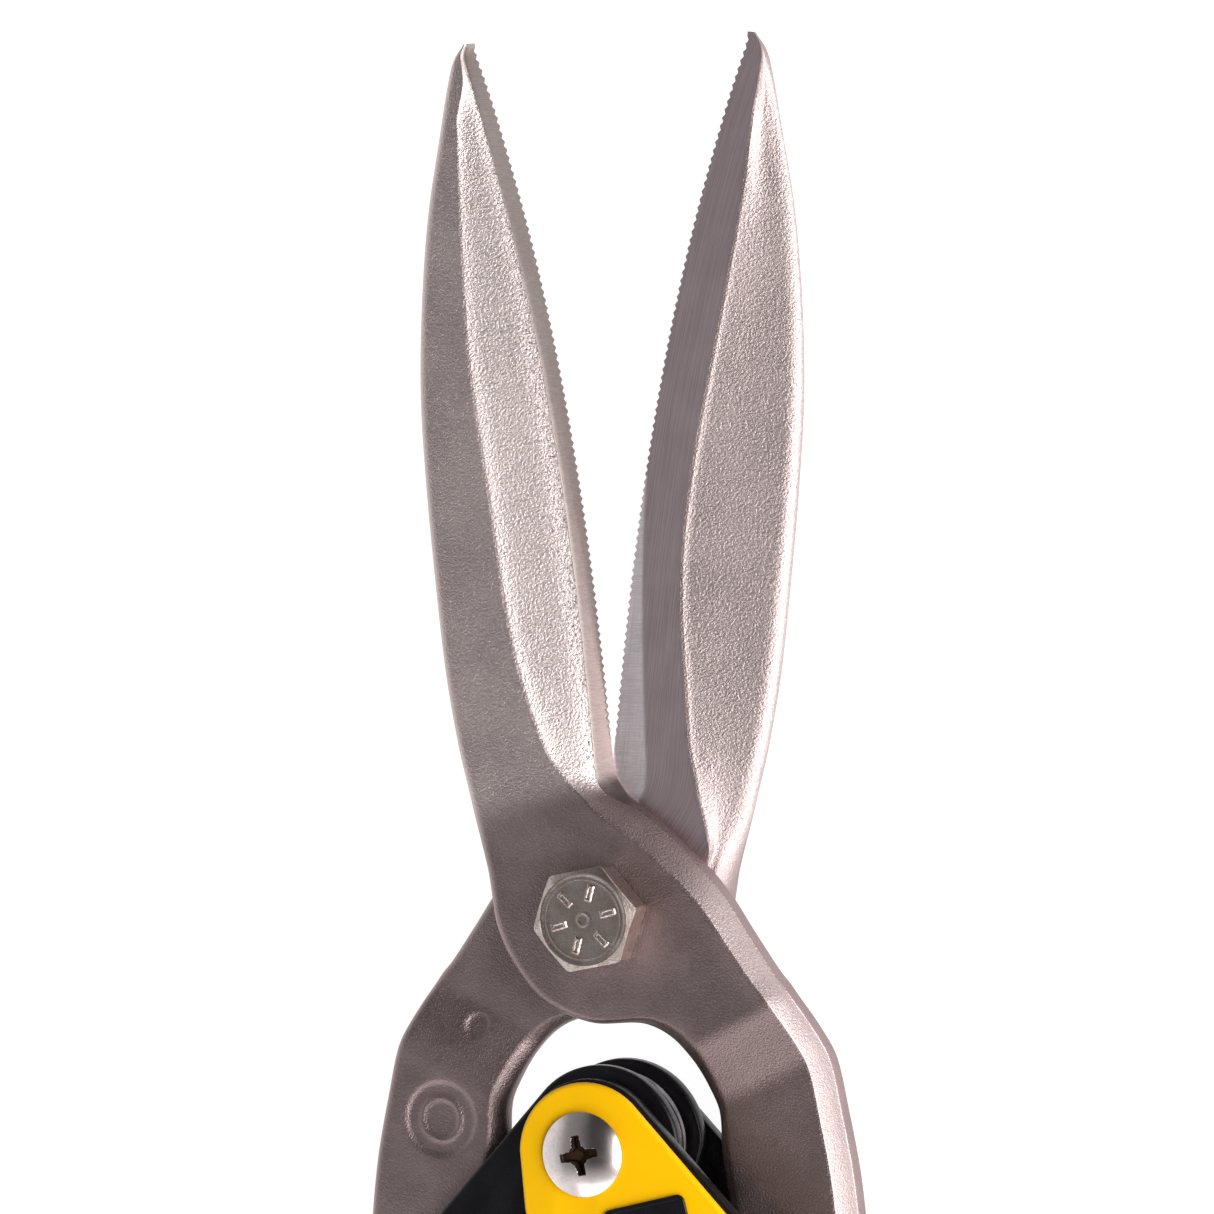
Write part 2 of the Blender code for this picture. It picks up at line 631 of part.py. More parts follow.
def grip_ring(t, half, squash, side):
    """Rounded-box section of the grip at fraction t; side -1 mirrors it to the left handle."""
    ring = []
    middle = (GRIP_Z[0] + GRIP_Z[1]) / 2
    deep = (GRIP_Z[1] - GRIP_Z[0]) / 2
    for k in range(20):
        a = 2 * pi * k / 20
        c, s = cos(a), sin(a)
        wide = half * squash * abs(c) ** 0.7 * (1 if c > 0 else -1)
        high = deep * squash * abs(s) ** 0.7 * (1 if s > 0 else -1)
        x, y = grip_point(t, wide)
        ring.append((side * x, y, middle + high))
    return ring


def grip(name, side, cheeks, axis):
    """Soft sleeve pushed on over the handle channel, with a guard at its upper end."""
    last = 1 + GRIP_OVER / GRIP_REACH
    rings = [grip_ring(GRIP_START, GRIP_HALF + COLLAR_EXTRA * 0.6, 0.93, side)]
    rings.append(grip_ring(GRIP_START + 0.012, GRIP_HALF + COLLAR_EXTRA, 1.0, side))
    rings.append(grip_ring(GRIP_START + 0.05, GRIP_HALF + COLLAR_EXTRA * 0.8, 1.0, side))
    rings.append(grip_ring(GRIP_START + 0.09, GRIP_HALF, 1.0, side))
    for t in np.linspace(0.45, 0.97, 9):
        rings.append(grip_ring(t, GRIP_HALF, 1.0, side))
    for back, squash in ((0.022, 0.97), (0.008, 0.86), (0.0, 0.66)):
        rings.append(grip_ring(last - back, GRIP_HALF, squash, side))
    body = loft(name, rings, rubber, axis)
    room = CHANNEL_HALF + CLEARANCE
    hole = [grip_point(t, room) for t in np.linspace(0.2, 1.003, 10)]
    hole += [grip_point(t, -room) for t in np.linspace(1.003, 0.2, 10)]
    if side < 0:
        hole = mirrored(hole)
    deep = (cheeks[0] - CLEARANCE, cheeks[1] + CLEARANCE)
    cut(body, plate("cut_sleeve_" + name, hole, deep, cutter=True))
    return body


def inlay_outline(half):
    first, last = INLAY_SPAN
    line = [grip_point(t, half) for t in np.linspace(first, last, 8)]
    tail = (half + INLAY_HALF) / 2 / GRIP_REACH
    line += [grip_point(last + tail * 0.8, half * 0.6), grip_point(last + tail * 0.8, -half * 0.6)]
    line += [grip_point(t, -half) for t in np.linspace(last, first, 8)]
    line += [grip_point(first - tail * 0.8, -half * 0.6), grip_point(first - tail * 0.8, half * 0.6)]
    return line


for name, side, cheeks, axis in (
    ("right", 1, RIGHT_CHEEKS, handlePivot),
    ("left", -1, LEFT_CHEEKS, leftPin),
):
    sleeve = grip("grip_" + name, side, cheeks, axis)
    outline = inlay_outline(INLAY_HALF)
    seat = inlay_outline(INLAY_HALF + CLEARANCE)
    if side < 0:
        outline = mirrored(outline)
        seat = mirrored(seat)
    plate("grip_inlay_" + name, outline, INLAY_Z, yellow, axis)
    cut(sleeve, plate("cut_seat_" + name, seat, (INLAY_Z[0] - CLEARANCE, 20.0), cutter=True))
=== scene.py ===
# Long-cut aviation snips lying open on their back on a pale table.
# Every shape is worked out in mm from the blade pivot (X right, Y to the tips, Z up to the bolt head,
# the blades meeting at Z = 0) and turned into metres when its mesh is made.
import json
from math import asin, atan2, cos, degrees, hypot, pi, radians, sin, tan

import bpy
import numpy as np
from mathutils import Matrix, Vector


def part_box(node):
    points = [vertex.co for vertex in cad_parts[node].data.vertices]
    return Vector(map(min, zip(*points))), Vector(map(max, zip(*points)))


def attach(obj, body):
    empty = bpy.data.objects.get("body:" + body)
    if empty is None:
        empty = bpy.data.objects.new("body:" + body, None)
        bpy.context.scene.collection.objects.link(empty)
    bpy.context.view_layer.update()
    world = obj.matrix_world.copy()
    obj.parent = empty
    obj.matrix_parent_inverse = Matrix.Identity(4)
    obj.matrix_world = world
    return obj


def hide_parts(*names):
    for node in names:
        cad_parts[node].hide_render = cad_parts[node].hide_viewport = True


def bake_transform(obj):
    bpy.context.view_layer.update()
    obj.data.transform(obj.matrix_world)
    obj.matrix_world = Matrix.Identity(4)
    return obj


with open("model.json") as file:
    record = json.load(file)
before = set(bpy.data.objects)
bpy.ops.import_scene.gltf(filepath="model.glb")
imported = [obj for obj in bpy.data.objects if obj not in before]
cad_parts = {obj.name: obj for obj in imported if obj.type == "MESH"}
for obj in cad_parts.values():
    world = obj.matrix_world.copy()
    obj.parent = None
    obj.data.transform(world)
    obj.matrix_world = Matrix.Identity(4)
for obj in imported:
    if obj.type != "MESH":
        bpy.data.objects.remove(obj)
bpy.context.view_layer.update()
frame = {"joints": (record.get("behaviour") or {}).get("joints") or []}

joints = {j["name"]: np.array(j["pos_m"]) for j in frame["joints"]}
mm = 0.001
zero = joints["blade_pivot"]


def inTool(point):
    # world metres to mm from the blade pivot
    return (np.array(point) - zero) / mm


handlePivot = inTool(joints["handle_pivot"])[:2]
leftPin = inTool(joints["left_arm_pivot"])[:2]
rightPin = leftPin * (-1, 1)
latchPivot = inTool(joints["latch_pivot"])[:2]
studAt = latchPivot * (-1, 1)


def nodeSpan(node, axis):
    # lowest and highest value of a frame node along one axis, in mm
    low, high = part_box(node)
    return inTool(low)[axis], inTool(high)[axis]


# Curves and grids

def smoothLine(points, at):
    # Catmull-Rom curve through the points, read at the fractional point numbers in at
    p = np.array(points, float)
    p = np.vstack([2 * p[0] - p[1], p, 2 * p[-1] - p[-2]])
    k = np.clip(at.astype(int), 0, len(points) - 2)
    t = (at - k)[:, None]
    a, b, c, d = p[k], p[k + 1], p[k + 2], p[k + 3]
    return 0.5 * (2 * b + (c - a) * t + (2 * a - 5 * b + 4 * c - d) * t**2 + (3 * b - a - 3 * c + d) * t**3)


def smoothPath(points, perSpan):
    # the same curve read at even steps, perSpan of them from each point to the next
    return smoothLine(points, np.linspace(0, len(points) - 1, (len(points) - 1) * perSpan + 1))


def arcLine(centre, radius, start, end, steps):
    # points on an arc, angles in degrees from +X
    a = np.radians(np.linspace(start, end, steps + 1))
    return np.column_stack([centre[0] + radius * np.cos(a), centre[1] + radius * np.sin(a)])


def eased(table, at, spread=0.5):
    # piecewise-straight table averaged over a short stretch, so that it has no corners
    keys, values = np.array(table, float).T
    return np.mean([np.interp(at + o, keys, values) for o in np.linspace(-spread, spread, 9)], axis=0)


def box(x, low, high, soft):
    # 1 between low and high, falling to 0 over soft on each side
    rise = np.clip((x - low) / soft + 0.5, 0, 1)
    fall = np.clip((high - x) / soft + 0.5, 0, 1)
    return rise * rise * (3 - 2 * rise) * fall * fall * (3 - 2 * fall)


def roundedRows(corners, radius, bends, runs):
    # Each corner of every row's closed outline becomes a quadratic arc that begins and ends at
    # radius from the corner; the straight between two arcs is split into equal runs.
    before = np.roll(corners, 1, axis=1) - corners
    after = np.roll(corners, -1, axis=1) - corners
    lengthBefore = np.linalg.norm(before, axis=2, keepdims=True) + 1e-9
    lengthAfter = np.linalg.norm(after, axis=2, keepdims=True) + 1e-9
    start = corners + before * np.minimum(radius[..., None] / lengthBefore, 0.45)
    end = corners + after * np.minimum(radius[..., None] / lengthAfter, 0.45)
    nextStart = np.roll(start, -1, axis=1)
    made = []
    for j, (bend, run) in enumerate(zip(bends, runs)):
        t = np.linspace(0, 1, bend + 1)[None, :, None]
        s, c, e = start[:, j, None], corners[:, j, None], end[:, j, None]
        made.append((1 - t) ** 2 * s + 2 * t * (1 - t) * c + t**2 * e)
        f = np.linspace(0, 1, run + 1)[None, 1:-1, None]
        made.append(end[:, j, None] * (1 - f) + nextStart[:, j, None] * f)
    return np.concatenate(made, axis=1)


def meshFrom(name, points, quads, extra=()):
    # quads and other faces over an array of points in mm, turned outward by the sign of the volume
    world = points * mm + zero
    data = bpy.data.meshes.new(name)
    faces = [np.asarray(quads).reshape(-1, 4)] + [np.asarray(e).reshape(1, -1) for e in extra]
    rims = [f[:, [0, i, i + 1]] for f in faces if f.size for i in range(1, f.shape[1] - 1)]
    tri = world[np.concatenate(rims)]
    volume = np.einsum("ij,ij->i", tri[:, 0], np.cross(tri[:, 1], tri[:, 2])).sum()
    if volume < 0:
        faces = [f[:, ::-1] for f in faces]
    loops = np.concatenate([f.ravel() for f in faces])
    sizes = np.concatenate([np.full(len(f), f.shape[1]) for f in faces if f.size])
    data.vertices.add(len(world))
    data.vertices.foreach_set("co", world.ravel())
    data.loops.add(len(loops))
    data.loops.foreach_set("vertex_index", loops.astype(np.int32))
    data.polygons.add(len(sizes))
    data.polygons.foreach_set("loop_start", (np.cumsum(sizes) - sizes).astype(np.int32))
    data.update(calc_edges=True)
    data.validate()
    piece = bpy.data.objects.new(name, data)
    bpy.context.scene.collection.objects.link(piece)
    return piece


def addLayer(piece, key, values, kind="FLOAT", field="value"):
    # a named number at each point, for its material to read
    layer = piece.data.attributes.new(key, kind, "POINT")
    layer.data.foreach_set(field, np.ascontiguousarray(values, dtype=np.float32).ravel())


def gridFaces(rows, columns):
    # four-sided faces between each ring and the next, each ring joined back to its start
    i, j = np.meshgrid(np.arange(rows - 1), np.arange(columns), indexing="ij")
    k = (j + 1) % columns
    return np.stack([i * columns + j, i * columns + k, (i + 1) * columns + k, (i + 1) * columns + j], axis=-1)


def closedFaces(rows, columns):
    # the same with the last ring joined back to the first
    return gridFaces(rows + 1, columns).reshape(-1, 4) % (rows * columns)


def tubeMesh(name, grid):
    # rows of closed rings, each end closed by one face
    rows, columns = grid.shape[:2]
    first = np.arange(columns)[::-1]
    last = np.arange(columns) + (rows - 1) * columns
    return meshFrom(name, grid.reshape(-1, 3), gridFaces(rows, columns), (first, last))


def polarMesh(name, centre, radius, height, turnSteps):
    # rings round the Z axis at centre: radius and height hold a row for each ring and a column for each
    # of turnSteps angles, and the first and last ring are each closed by one face
    angle = np.linspace(0, 2 * pi, turnSteps, endpoint=False)
    x = centre[0] + radius * np.cos(angle)
    y = centre[1] + radius * np.sin(angle)
    return tubeMesh(name, np.stack([x, y, height + 0 * x], axis=-1))


def lathe(name, centre, outline, radii, bore=0.0, bends=4, turnSteps=64):
    # A (radius, z) outline with rounded corners, turned round the Z axis at centre. With a bore the
    # outline is closed and makes a ring; without one it starts and ends on the axis.
    corners = np.array(outline, float)[None]
    ring = roundedRows(corners, np.array(radii, float)[None], [bends] * len(outline), [1] * len(outline))[0]
    angle = np.linspace(0, 2 * pi, turnSteps, endpoint=False)
    if not bore:
        onAxis = 0.02
        ring = ring[ring[:, 0] > onAxis]
    r, z = ring[:, 0][:, None], ring[:, 1][:, None]
    grid = np.stack([centre[0] + r * np.cos(angle), centre[1] + r * np.sin(angle), z + 0 * angle], axis=-1)
    if bore:
        return meshFrom(name, grid.reshape(-1, 3), closedFaces(len(ring), turnSteps))
    return tubeMesh(name, grid)


def slab(name, outline, z):
    # a closed outline given a thickness from z[0] to z[1]
    count = len(outline)
    low = np.column_stack([outline, np.full(count, z[0])])
    high = np.column_stack([outline, np.full(count, z[1])])
    return tubeMesh(name, np.stack([low, high]))


def finished(piece, cutters=(), edge=0.0, segments=3, angle=32):
    # takes the cutters out of the piece, rounds its edges, and keeps the result as a plain mesh
    for cutter in cutters:
        hole = piece.modifiers.new(cutter.name, "BOOLEAN")
        hole.object = cutter
        hole.operation = "DIFFERENCE"
        hole.solver = "EXACT"
    if edge:
        rounding = piece.modifiers.new("rounding", "BEVEL")
        rounding.width = edge * mm
        rounding.segments = segments
        rounding.limit_method = "ANGLE"
        rounding.angle_limit = radians(angle)
    if piece.modifiers:
        bpy.context.view_layer.update()
        seen = piece.evaluated_get(bpy.context.evaluated_depsgraph_get())
        data = bpy.data.meshes.new_from_object(seen)
        piece.modifiers.clear()
        piece.data = data
    for cutter in cutters:
        if cutter.users_collection:
            bpy.data.objects.remove(cutter)
    piece.data.polygons.foreach_set("use_smooth", np.ones(len(piece.data.polygons), bool))
    piece.data.set_sharp_from_angle(angle=radians(angle))
    return piece


def rod(centre, radius, low=-30.0, high=30.0):
    # a round bar along Z, to drill a hole with
    sides = 72
    a = np.linspace(0, 2 * pi, sides, endpoint=False)
    circle = np.column_stack([centre[0] + radius * np.cos(a), centre[1] + radius * np.sin(a)])
    return slab("rod", circle, (low, high))


def settle(piece, body, look, slotName, *nodes):
    # rides on its body, takes its finish and stands for the frame nodes named
    piece.data.materials.clear()
    piece.data.materials.append(look)
    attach(piece, body)
    if nodes:
        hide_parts(*nodes)


def plainRing(name, nodeName, centre, inner, outer, radii, turnSteps=64):
    # a flat ring as tall as its frame node, its four corners rounded by radii
    low, high = nodeSpan(nodeName, 2)
    outline = [(inner, high), (outer, high), (outer, low), (inner, low)]
    return finished(lathe(name, centre, outline, radii, bore=inner, turnSteps=turnSteps))


print("frame loaded, helpers ready")


# Materials

def newLook(name):
    # a material, its node tree and its main shader
    made = bpy.data.materials.new(name)
    made.use_nodes = True
    return made, made.node_tree, made.node_tree.nodes["Principled BSDF"]


def node(tree, kind, links=(), **settings):
    # one shader node; settings are properties or socket values, links are (socket, output) pairs
    made = tree.nodes.new(kind)
    for key, value in settings.items():
        if key in made.inputs:
            made.inputs[key].default_value = value
        else:
            setattr(made, key, value)
    for socket, source in links:
        tree.links.new(source, made.inputs[socket])
    return made


def noise(tree, where, scale, detail=2.0, rough=0.5, stretch=None):
    # cloudy noise with cells of 1 / scale mm; stretch squeezes it along an axis
    scaled = node(tree, "ShaderNodeMapping", [("Vector", where)])
    factor = stretch or (1, 1, 1)
    scaled.inputs["Scale"].default_value = [f * scale for f in factor]
    cloud = node(tree, "ShaderNodeTexNoise", [("Vector", scaled.outputs[0])], Scale=1.0)
    cloud.inputs["Detail"].default_value = detail
    cloud.inputs["Roughness"].default_value = rough
    return cloud.outputs["Fac"]


def ramp(tree, value, low, high, fromValue=0.0, toValue=1.0):
    # smooth change from low to high, written as a value
    made = node(tree, "ShaderNodeMapRange", [("Value", value)], interpolation_type="SMOOTHSTEP")
    for key, number in zip(("From Min", "From Max", "To Min", "To Max"), (low, high, fromValue, toValue)):
        made.inputs[key].default_value = number
    return made.outputs["Result"]


def blendColour(tree, amount, one, two):
    # colour one where amount is 0, colour two where it is 1
    made = node(tree, "ShaderNodeMix", [("Factor", amount)], data_type="RGBA")
    for socket, colour in ((6, one), (7, two)):
        if isinstance(colour, tuple):
            made.inputs[socket].default_value = (*colour, 1.0)
        else:
            tree.links.new(colour, made.inputs[socket])
    return made.outputs[2]


def maths(tree, kind, a, b):
    # a and b, each a number or a socket, put through one sum
    made = node(tree, "ShaderNodeMath", operation=kind)
    for socket, value in enumerate((a, b)):
        if isinstance(value, (int, float)):
            made.inputs[socket].default_value = value
        else:
            tree.links.new(value, made.inputs[socket])
    return made.outputs[0]


def inMm(tree):
    # Object coordinates in mm
    source = node(tree, "ShaderNodeTexCoord").outputs["Object"]
    return node(tree, "ShaderNodeMapping", [("Vector", source)], Scale=(1000, 1000, 1000)).outputs[0]


def roughen(tree, shader, height, depth):
    # tilts the surface by a bump as high as height times depth mm
    made = node(tree, "ShaderNodeBump", [("Height", height)], Strength=1.0, Distance=depth * mm)
    tree.links.new(made.outputs[0], shader.inputs["Normal"])


forgedLook = {
    "flat": (0.345, 0.262, 0.258),        # shot-blasted faces
    "flatDark": (0.300, 0.224, 0.220),
    "web": (0.90, 0.775, 0.75),           # coarse bright texture in the hollows
    "webDark": (0.76, 0.65, 0.625),
    "strip": (0.88, 0.71, 0.74),          # ground mating strip
    "stripDark": (0.60, 0.48, 0.50),
    "fresh": (1.0, 0.93, 0.95),
    "land": (0.262, 0.222, 0.208),        # ground land behind the teeth
    "landDark": (0.215, 0.180, 0.168),
    "pit": (0.14, 0.10, 0.09),
    "paintedGlint": (0.86, 0.80, 0.78),          # painted glints on the grains
    "grainDepth": 0.13,
    "grainCell": 0.28,
    "peelCell": 0.36,
}


def readLayer(tree, key, socket="Fac"):
    # the number kept at each point of the mesh under this name
    return node(tree, "ShaderNodeAttribute", attribute_name=key).outputs[socket]


def forgedSteel():
    # Shot-blasted grain everywhere, coarser where the web layer is 1 and pocked where the pitted layer
    # is; grinding lines on the strip and the land, laid out on the travel layer (mm along, mm across).
    k = forgedLook
    made, tree, shader = newLook("forged_steel_look")
    where = inMm(tree)
    web, ground, land = (readLayer(tree, key) for key in ("web", "ground", "land"))
    fresh, pitted = readLayer(tree, "fresh"), readLayer(tree, "pitted")
    travel = readLayer(tree, "travel", "Vector")
    cloud = noise(tree, where, 0.09, 3, 0.6)
    grain = noise(tree, where, 1 / k["grainCell"], 2, 0.6)
    peel = noise(tree, where, 1 / k["peelCell"], 3, 0.6)
    pocks = noise(tree, where, 2.5, 3, 0.6)
    flat = blendColour(tree, ramp(tree, cloud, 0.35, 0.65), k["flatDark"], k["flat"])
    coarse = blendColour(tree, ramp(tree, peel, 0.36, 0.62), k["webDark"], k["web"])
    blasted = blendColour(tree, web, flat, coarse)
    # painted glints: bright dots on the grains, stronger in the coarse hollows
    paintedGlint = ramp(tree, web, 0.0, 1.0, 0.05, 0.30)
    paintedSparkle = maths(tree, "MULTIPLY", ramp(tree, grain, 0.50, 0.74), paintedGlint)
    blasted = blendColour(tree, paintedSparkle, blasted, k["paintedGlint"])
    pock = maths(tree, "MULTIPLY", ramp(tree, pocks, 0.57, 0.66), pitted)
    blasted = blendColour(tree, maths(tree, "MULTIPLY", pock, 0.65), blasted, k["pit"])
    across = noise(tree, travel, 1.0, 2, 0.65, (7.0, 0.3, 1.0))
    strokes = noise(tree, travel, 1.0, 3, 0.65, (0.07, 6.5, 1.0))
    swirl = noise(tree, travel, 0.25, 2, 0.6)
    strip = blendColour(tree, ramp(tree, strokes, 0.36, 0.64), k["stripDark"], k["strip"])
    newer = maths(tree, "MULTIPLY", fresh, ramp(tree, across, 0.3, 0.7, 0.45, 1.0))
    strip = blendColour(tree, newer, strip, k["fresh"])
    ridge = blendColour(tree, ramp(tree, across, 0.34, 0.66), k["landDark"], k["land"])
    colour = blendColour(tree, ground, blasted, strip)
    colour = blendColour(tree, land, colour, ridge)
    tree.links.new(colour, shader.inputs["Base Color"])
    satin = maths(tree, "ADD", ramp(tree, cloud, 0.3, 0.7, 0.36, 0.44), maths(tree, "MULTIPLY", grain, 0.10))
    polish = ramp(tree, strokes, 0.3, 0.7, 0.36, 0.26)
    polish = maths(tree, "ADD", polish, maths(tree, "MULTIPLY", swirl, 0.1))
    polish = maths(tree, "ADD", polish, maths(tree, "MULTIPLY", fresh, 0.14))
    cut = maths(tree, "MAXIMUM", ground, land)
    rough = node(tree, "ShaderNodeMix", [("Factor", cut), ("A", satin), ("B", polish)])
    tree.links.new(rough.outputs[0], shader.inputs["Roughness"])
    coarseHeight = maths(tree, "MULTIPLY", maths(tree, "MULTIPLY", peel, ramp(tree, web, 0.0, 0.6)), 1.2)
    blastHeight = maths(tree, "ADD", maths(tree, "MULTIPLY", grain, 0.7), coarseHeight)
    blastHeight = maths(tree, "SUBTRACT", blastHeight, maths(tree, "MULTIPLY", pock, 0.7))
    lineHeight = maths(tree, "MULTIPLY", maths(tree, "ADD", across, strokes), 0.10)
    height = node(tree, "ShaderNodeMix", [("Factor", cut), ("A", blastHeight), ("B", lineHeight)])
    roughen(tree, shader, height.outputs[0], k["grainDepth"])
    shader.inputs["Metallic"].default_value = 1.0
    return made


# the first colour is the real stain of the specks, the second is painted shade for the screw's sunk cross
stainAndShade = {"stain": (0.22, 0.14, 0.09), "recessShade": (0.05, 0.028, 0.018)}


def platedSteel(name, light, dark, gloss, marks, depth):
    # Plated steel: cloudy tarnish, fine handling marks, small dull specks, and painted shade, dark and
    # rougher, where the layer for shaded recesses is 1.
    made, tree, shader = newLook(name)
    where = inMm(tree)
    cloud = noise(tree, where, 0.35, 3, 0.6)
    speck = noise(tree, where, 2.6, 3, 0.65)
    scratch = noise(tree, where, 1.0, 2, 0.6, (0.6, 7.0, 2.0))
    colour = blendColour(tree, ramp(tree, cloud, 0.35, 0.65), dark, light)
    stained = maths(tree, "MULTIPLY", ramp(tree, speck, 0.52, 0.66), marks)
    recessShade = readLayer(tree, "recessShade")
    colour = blendColour(tree, stained, colour, stainAndShade["stain"])
    # painted shade: darkens where the recess layer is 1
    colour = blendColour(tree, recessShade, colour, stainAndShade["recessShade"])
    tree.links.new(colour, shader.inputs["Base Color"])
    stainAndShadeRough = maths(tree, "ADD", maths(tree, "MULTIPLY", stained, 0.3), maths(tree, "MULTIPLY", recessShade, 0.35))
    rough = maths(tree, "ADD", ramp(tree, cloud, 0.3, 0.7, gloss + 0.06, gloss), stainAndShadeRough)
    tree.links.new(rough, shader.inputs["Roughness"])
    height = maths(tree, "ADD", maths(tree, "MULTIPLY", speck, 0.6), maths(tree, "MULTIPLY", scratch, 0.4))
    roughen(tree, shader, height, depth)
    shader.inputs["Metallic"].default_value = 1.0
    return made


blackPaint = {
    "dark": (0.004, 0.003, 0.004),
    "light": (0.007, 0.006, 0.008),
    "dust": (0.05, 0.05, 0.05),
    "peelDepth": 0.03,
}


def sprayedBlack():
    # Semi-gloss black paint on pressed steel: faint orange peel and dust-fine specks.
    k = blackPaint
    made, tree, shader = newLook("black_paint_look")
    where = inMm(tree)
    cloud = noise(tree, where, 0.15, 2, 0.5)
    peel = noise(tree, where, 1.1, 2, 0.5)
    dust = noise(tree, where, 5.0, 1, 0.5)
    colour = blendColour(tree, ramp(tree, cloud, 0.35, 0.65), k["dark"], k["light"])
    dusty = maths(tree, "MULTIPLY", ramp(tree, dust, 0.70, 0.76), 0.25)
    colour = blendColour(tree, dusty, colour, k["dust"])
    tree.links.new(colour, shader.inputs["Base Color"])
    tree.links.new(ramp(tree, peel, 0.3, 0.7, 0.26, 0.36), shader.inputs["Roughness"])
    roughen(tree, shader, peel, k["peelDepth"])
    shader.inputs["Specular IOR Level"].default_value = 0.3
    return made


yellowPlastic = {
    "deep": (0.93, 0.50, 0.0005),
    "bright": (0.96, 0.525, 0.001),
    "sinkDepth": 0.03,
}


def mouldedYellow():
    # Glossy yellow plastic: slight sink marks, a deeper tone in broad clouds, fine moulding texture.
    k = yellowPlastic
    made, tree, shader = newLook("yellow_plastic_look")
    where = inMm(tree)
    cloud = noise(tree, where, 0.08, 2, 0.5)
    sink = noise(tree, where, 0.35, 2, 0.5)
    fine = noise(tree, where, 4.0, 2, 0.5)
    colour = blendColour(tree, ramp(tree, cloud, 0.3, 0.7), k["deep"], k["bright"])
    tree.links.new(colour, shader.inputs["Base Color"])
    tree.links.new(ramp(tree, fine, 0.3, 0.7, 0.28, 0.36), shader.inputs["Roughness"])
    roughen(tree, shader, maths(tree, "ADD", sink, maths(tree, "MULTIPLY", fine, 0.12)), k["sinkDepth"])
    shader.inputs["Specular IOR Level"].default_value = 0.18
    return made


blackRubber = {
    "dark": (0.014, 0.014, 0.015),
    "rubbed": (0.03, 0.03, 0.031),
    "pebbleDepth": 0.08,
}


def softRubber():
    # Matt rubber with a fine pebbled skin and paler rubbed patches.
    k = blackRubber
    made, tree, shader = newLook("black_rubber_look")
    where = inMm(tree)
    cells = node(tree, "ShaderNodeTexVoronoi", [("Vector", where)], Scale=1.3)
    cloud = noise(tree, where, 0.1, 3, 0.6)
    fine = noise(tree, where, 3.5, 2, 0.5)
    colour = blendColour(tree, ramp(tree, cloud, 0.4, 0.7), k["dark"], k["rubbed"])
    tree.links.new(colour, shader.inputs["Base Color"])
    tree.links.new(ramp(tree, fine, 0.3, 0.7, 0.55, 0.72), shader.inputs["Roughness"])
    pebble = ramp(tree, cells.outputs["Distance"], 0.1, 0.6, 1.0, 0.0)
    roughen(tree, shader, maths(tree, "ADD", pebble, maths(tree, "MULTIPLY", fine, 0.3)), k["pebbleDepth"])
    shader.inputs["Specular IOR Level"].default_value = 0.35
    return made


platings = {
    # finish: (light tone, dark tone, roughness, strength of the specks, bump in mm)
    "nickel_plate": ((0.80, 0.72, 0.70), (0.70, 0.62, 0.60), 0.17, 0.12, 0.006),
    "bolt_plate": ((0.64, 0.54, 0.50), (0.45, 0.37, 0.33), 0.28, 0.6, 0.05),
    "gunmetal": ((0.20, 0.18, 0.19), (0.12, 0.11, 0.12), 0.22, 0.05, 0.006),
}

looks = {
    "forged_steel": forgedSteel(),
    **{finish: platedSteel(finish + "_look", *numbers) for finish, numbers in platings.items()},
    "black_paint": sprayedBlack(),
    "yellow_plastic": mouldedYellow(),
    "black_rubber": softRubber(),
}
print("materials ready")


# Forgings: blade, half of the boss and the arm below it, in one piece of steel

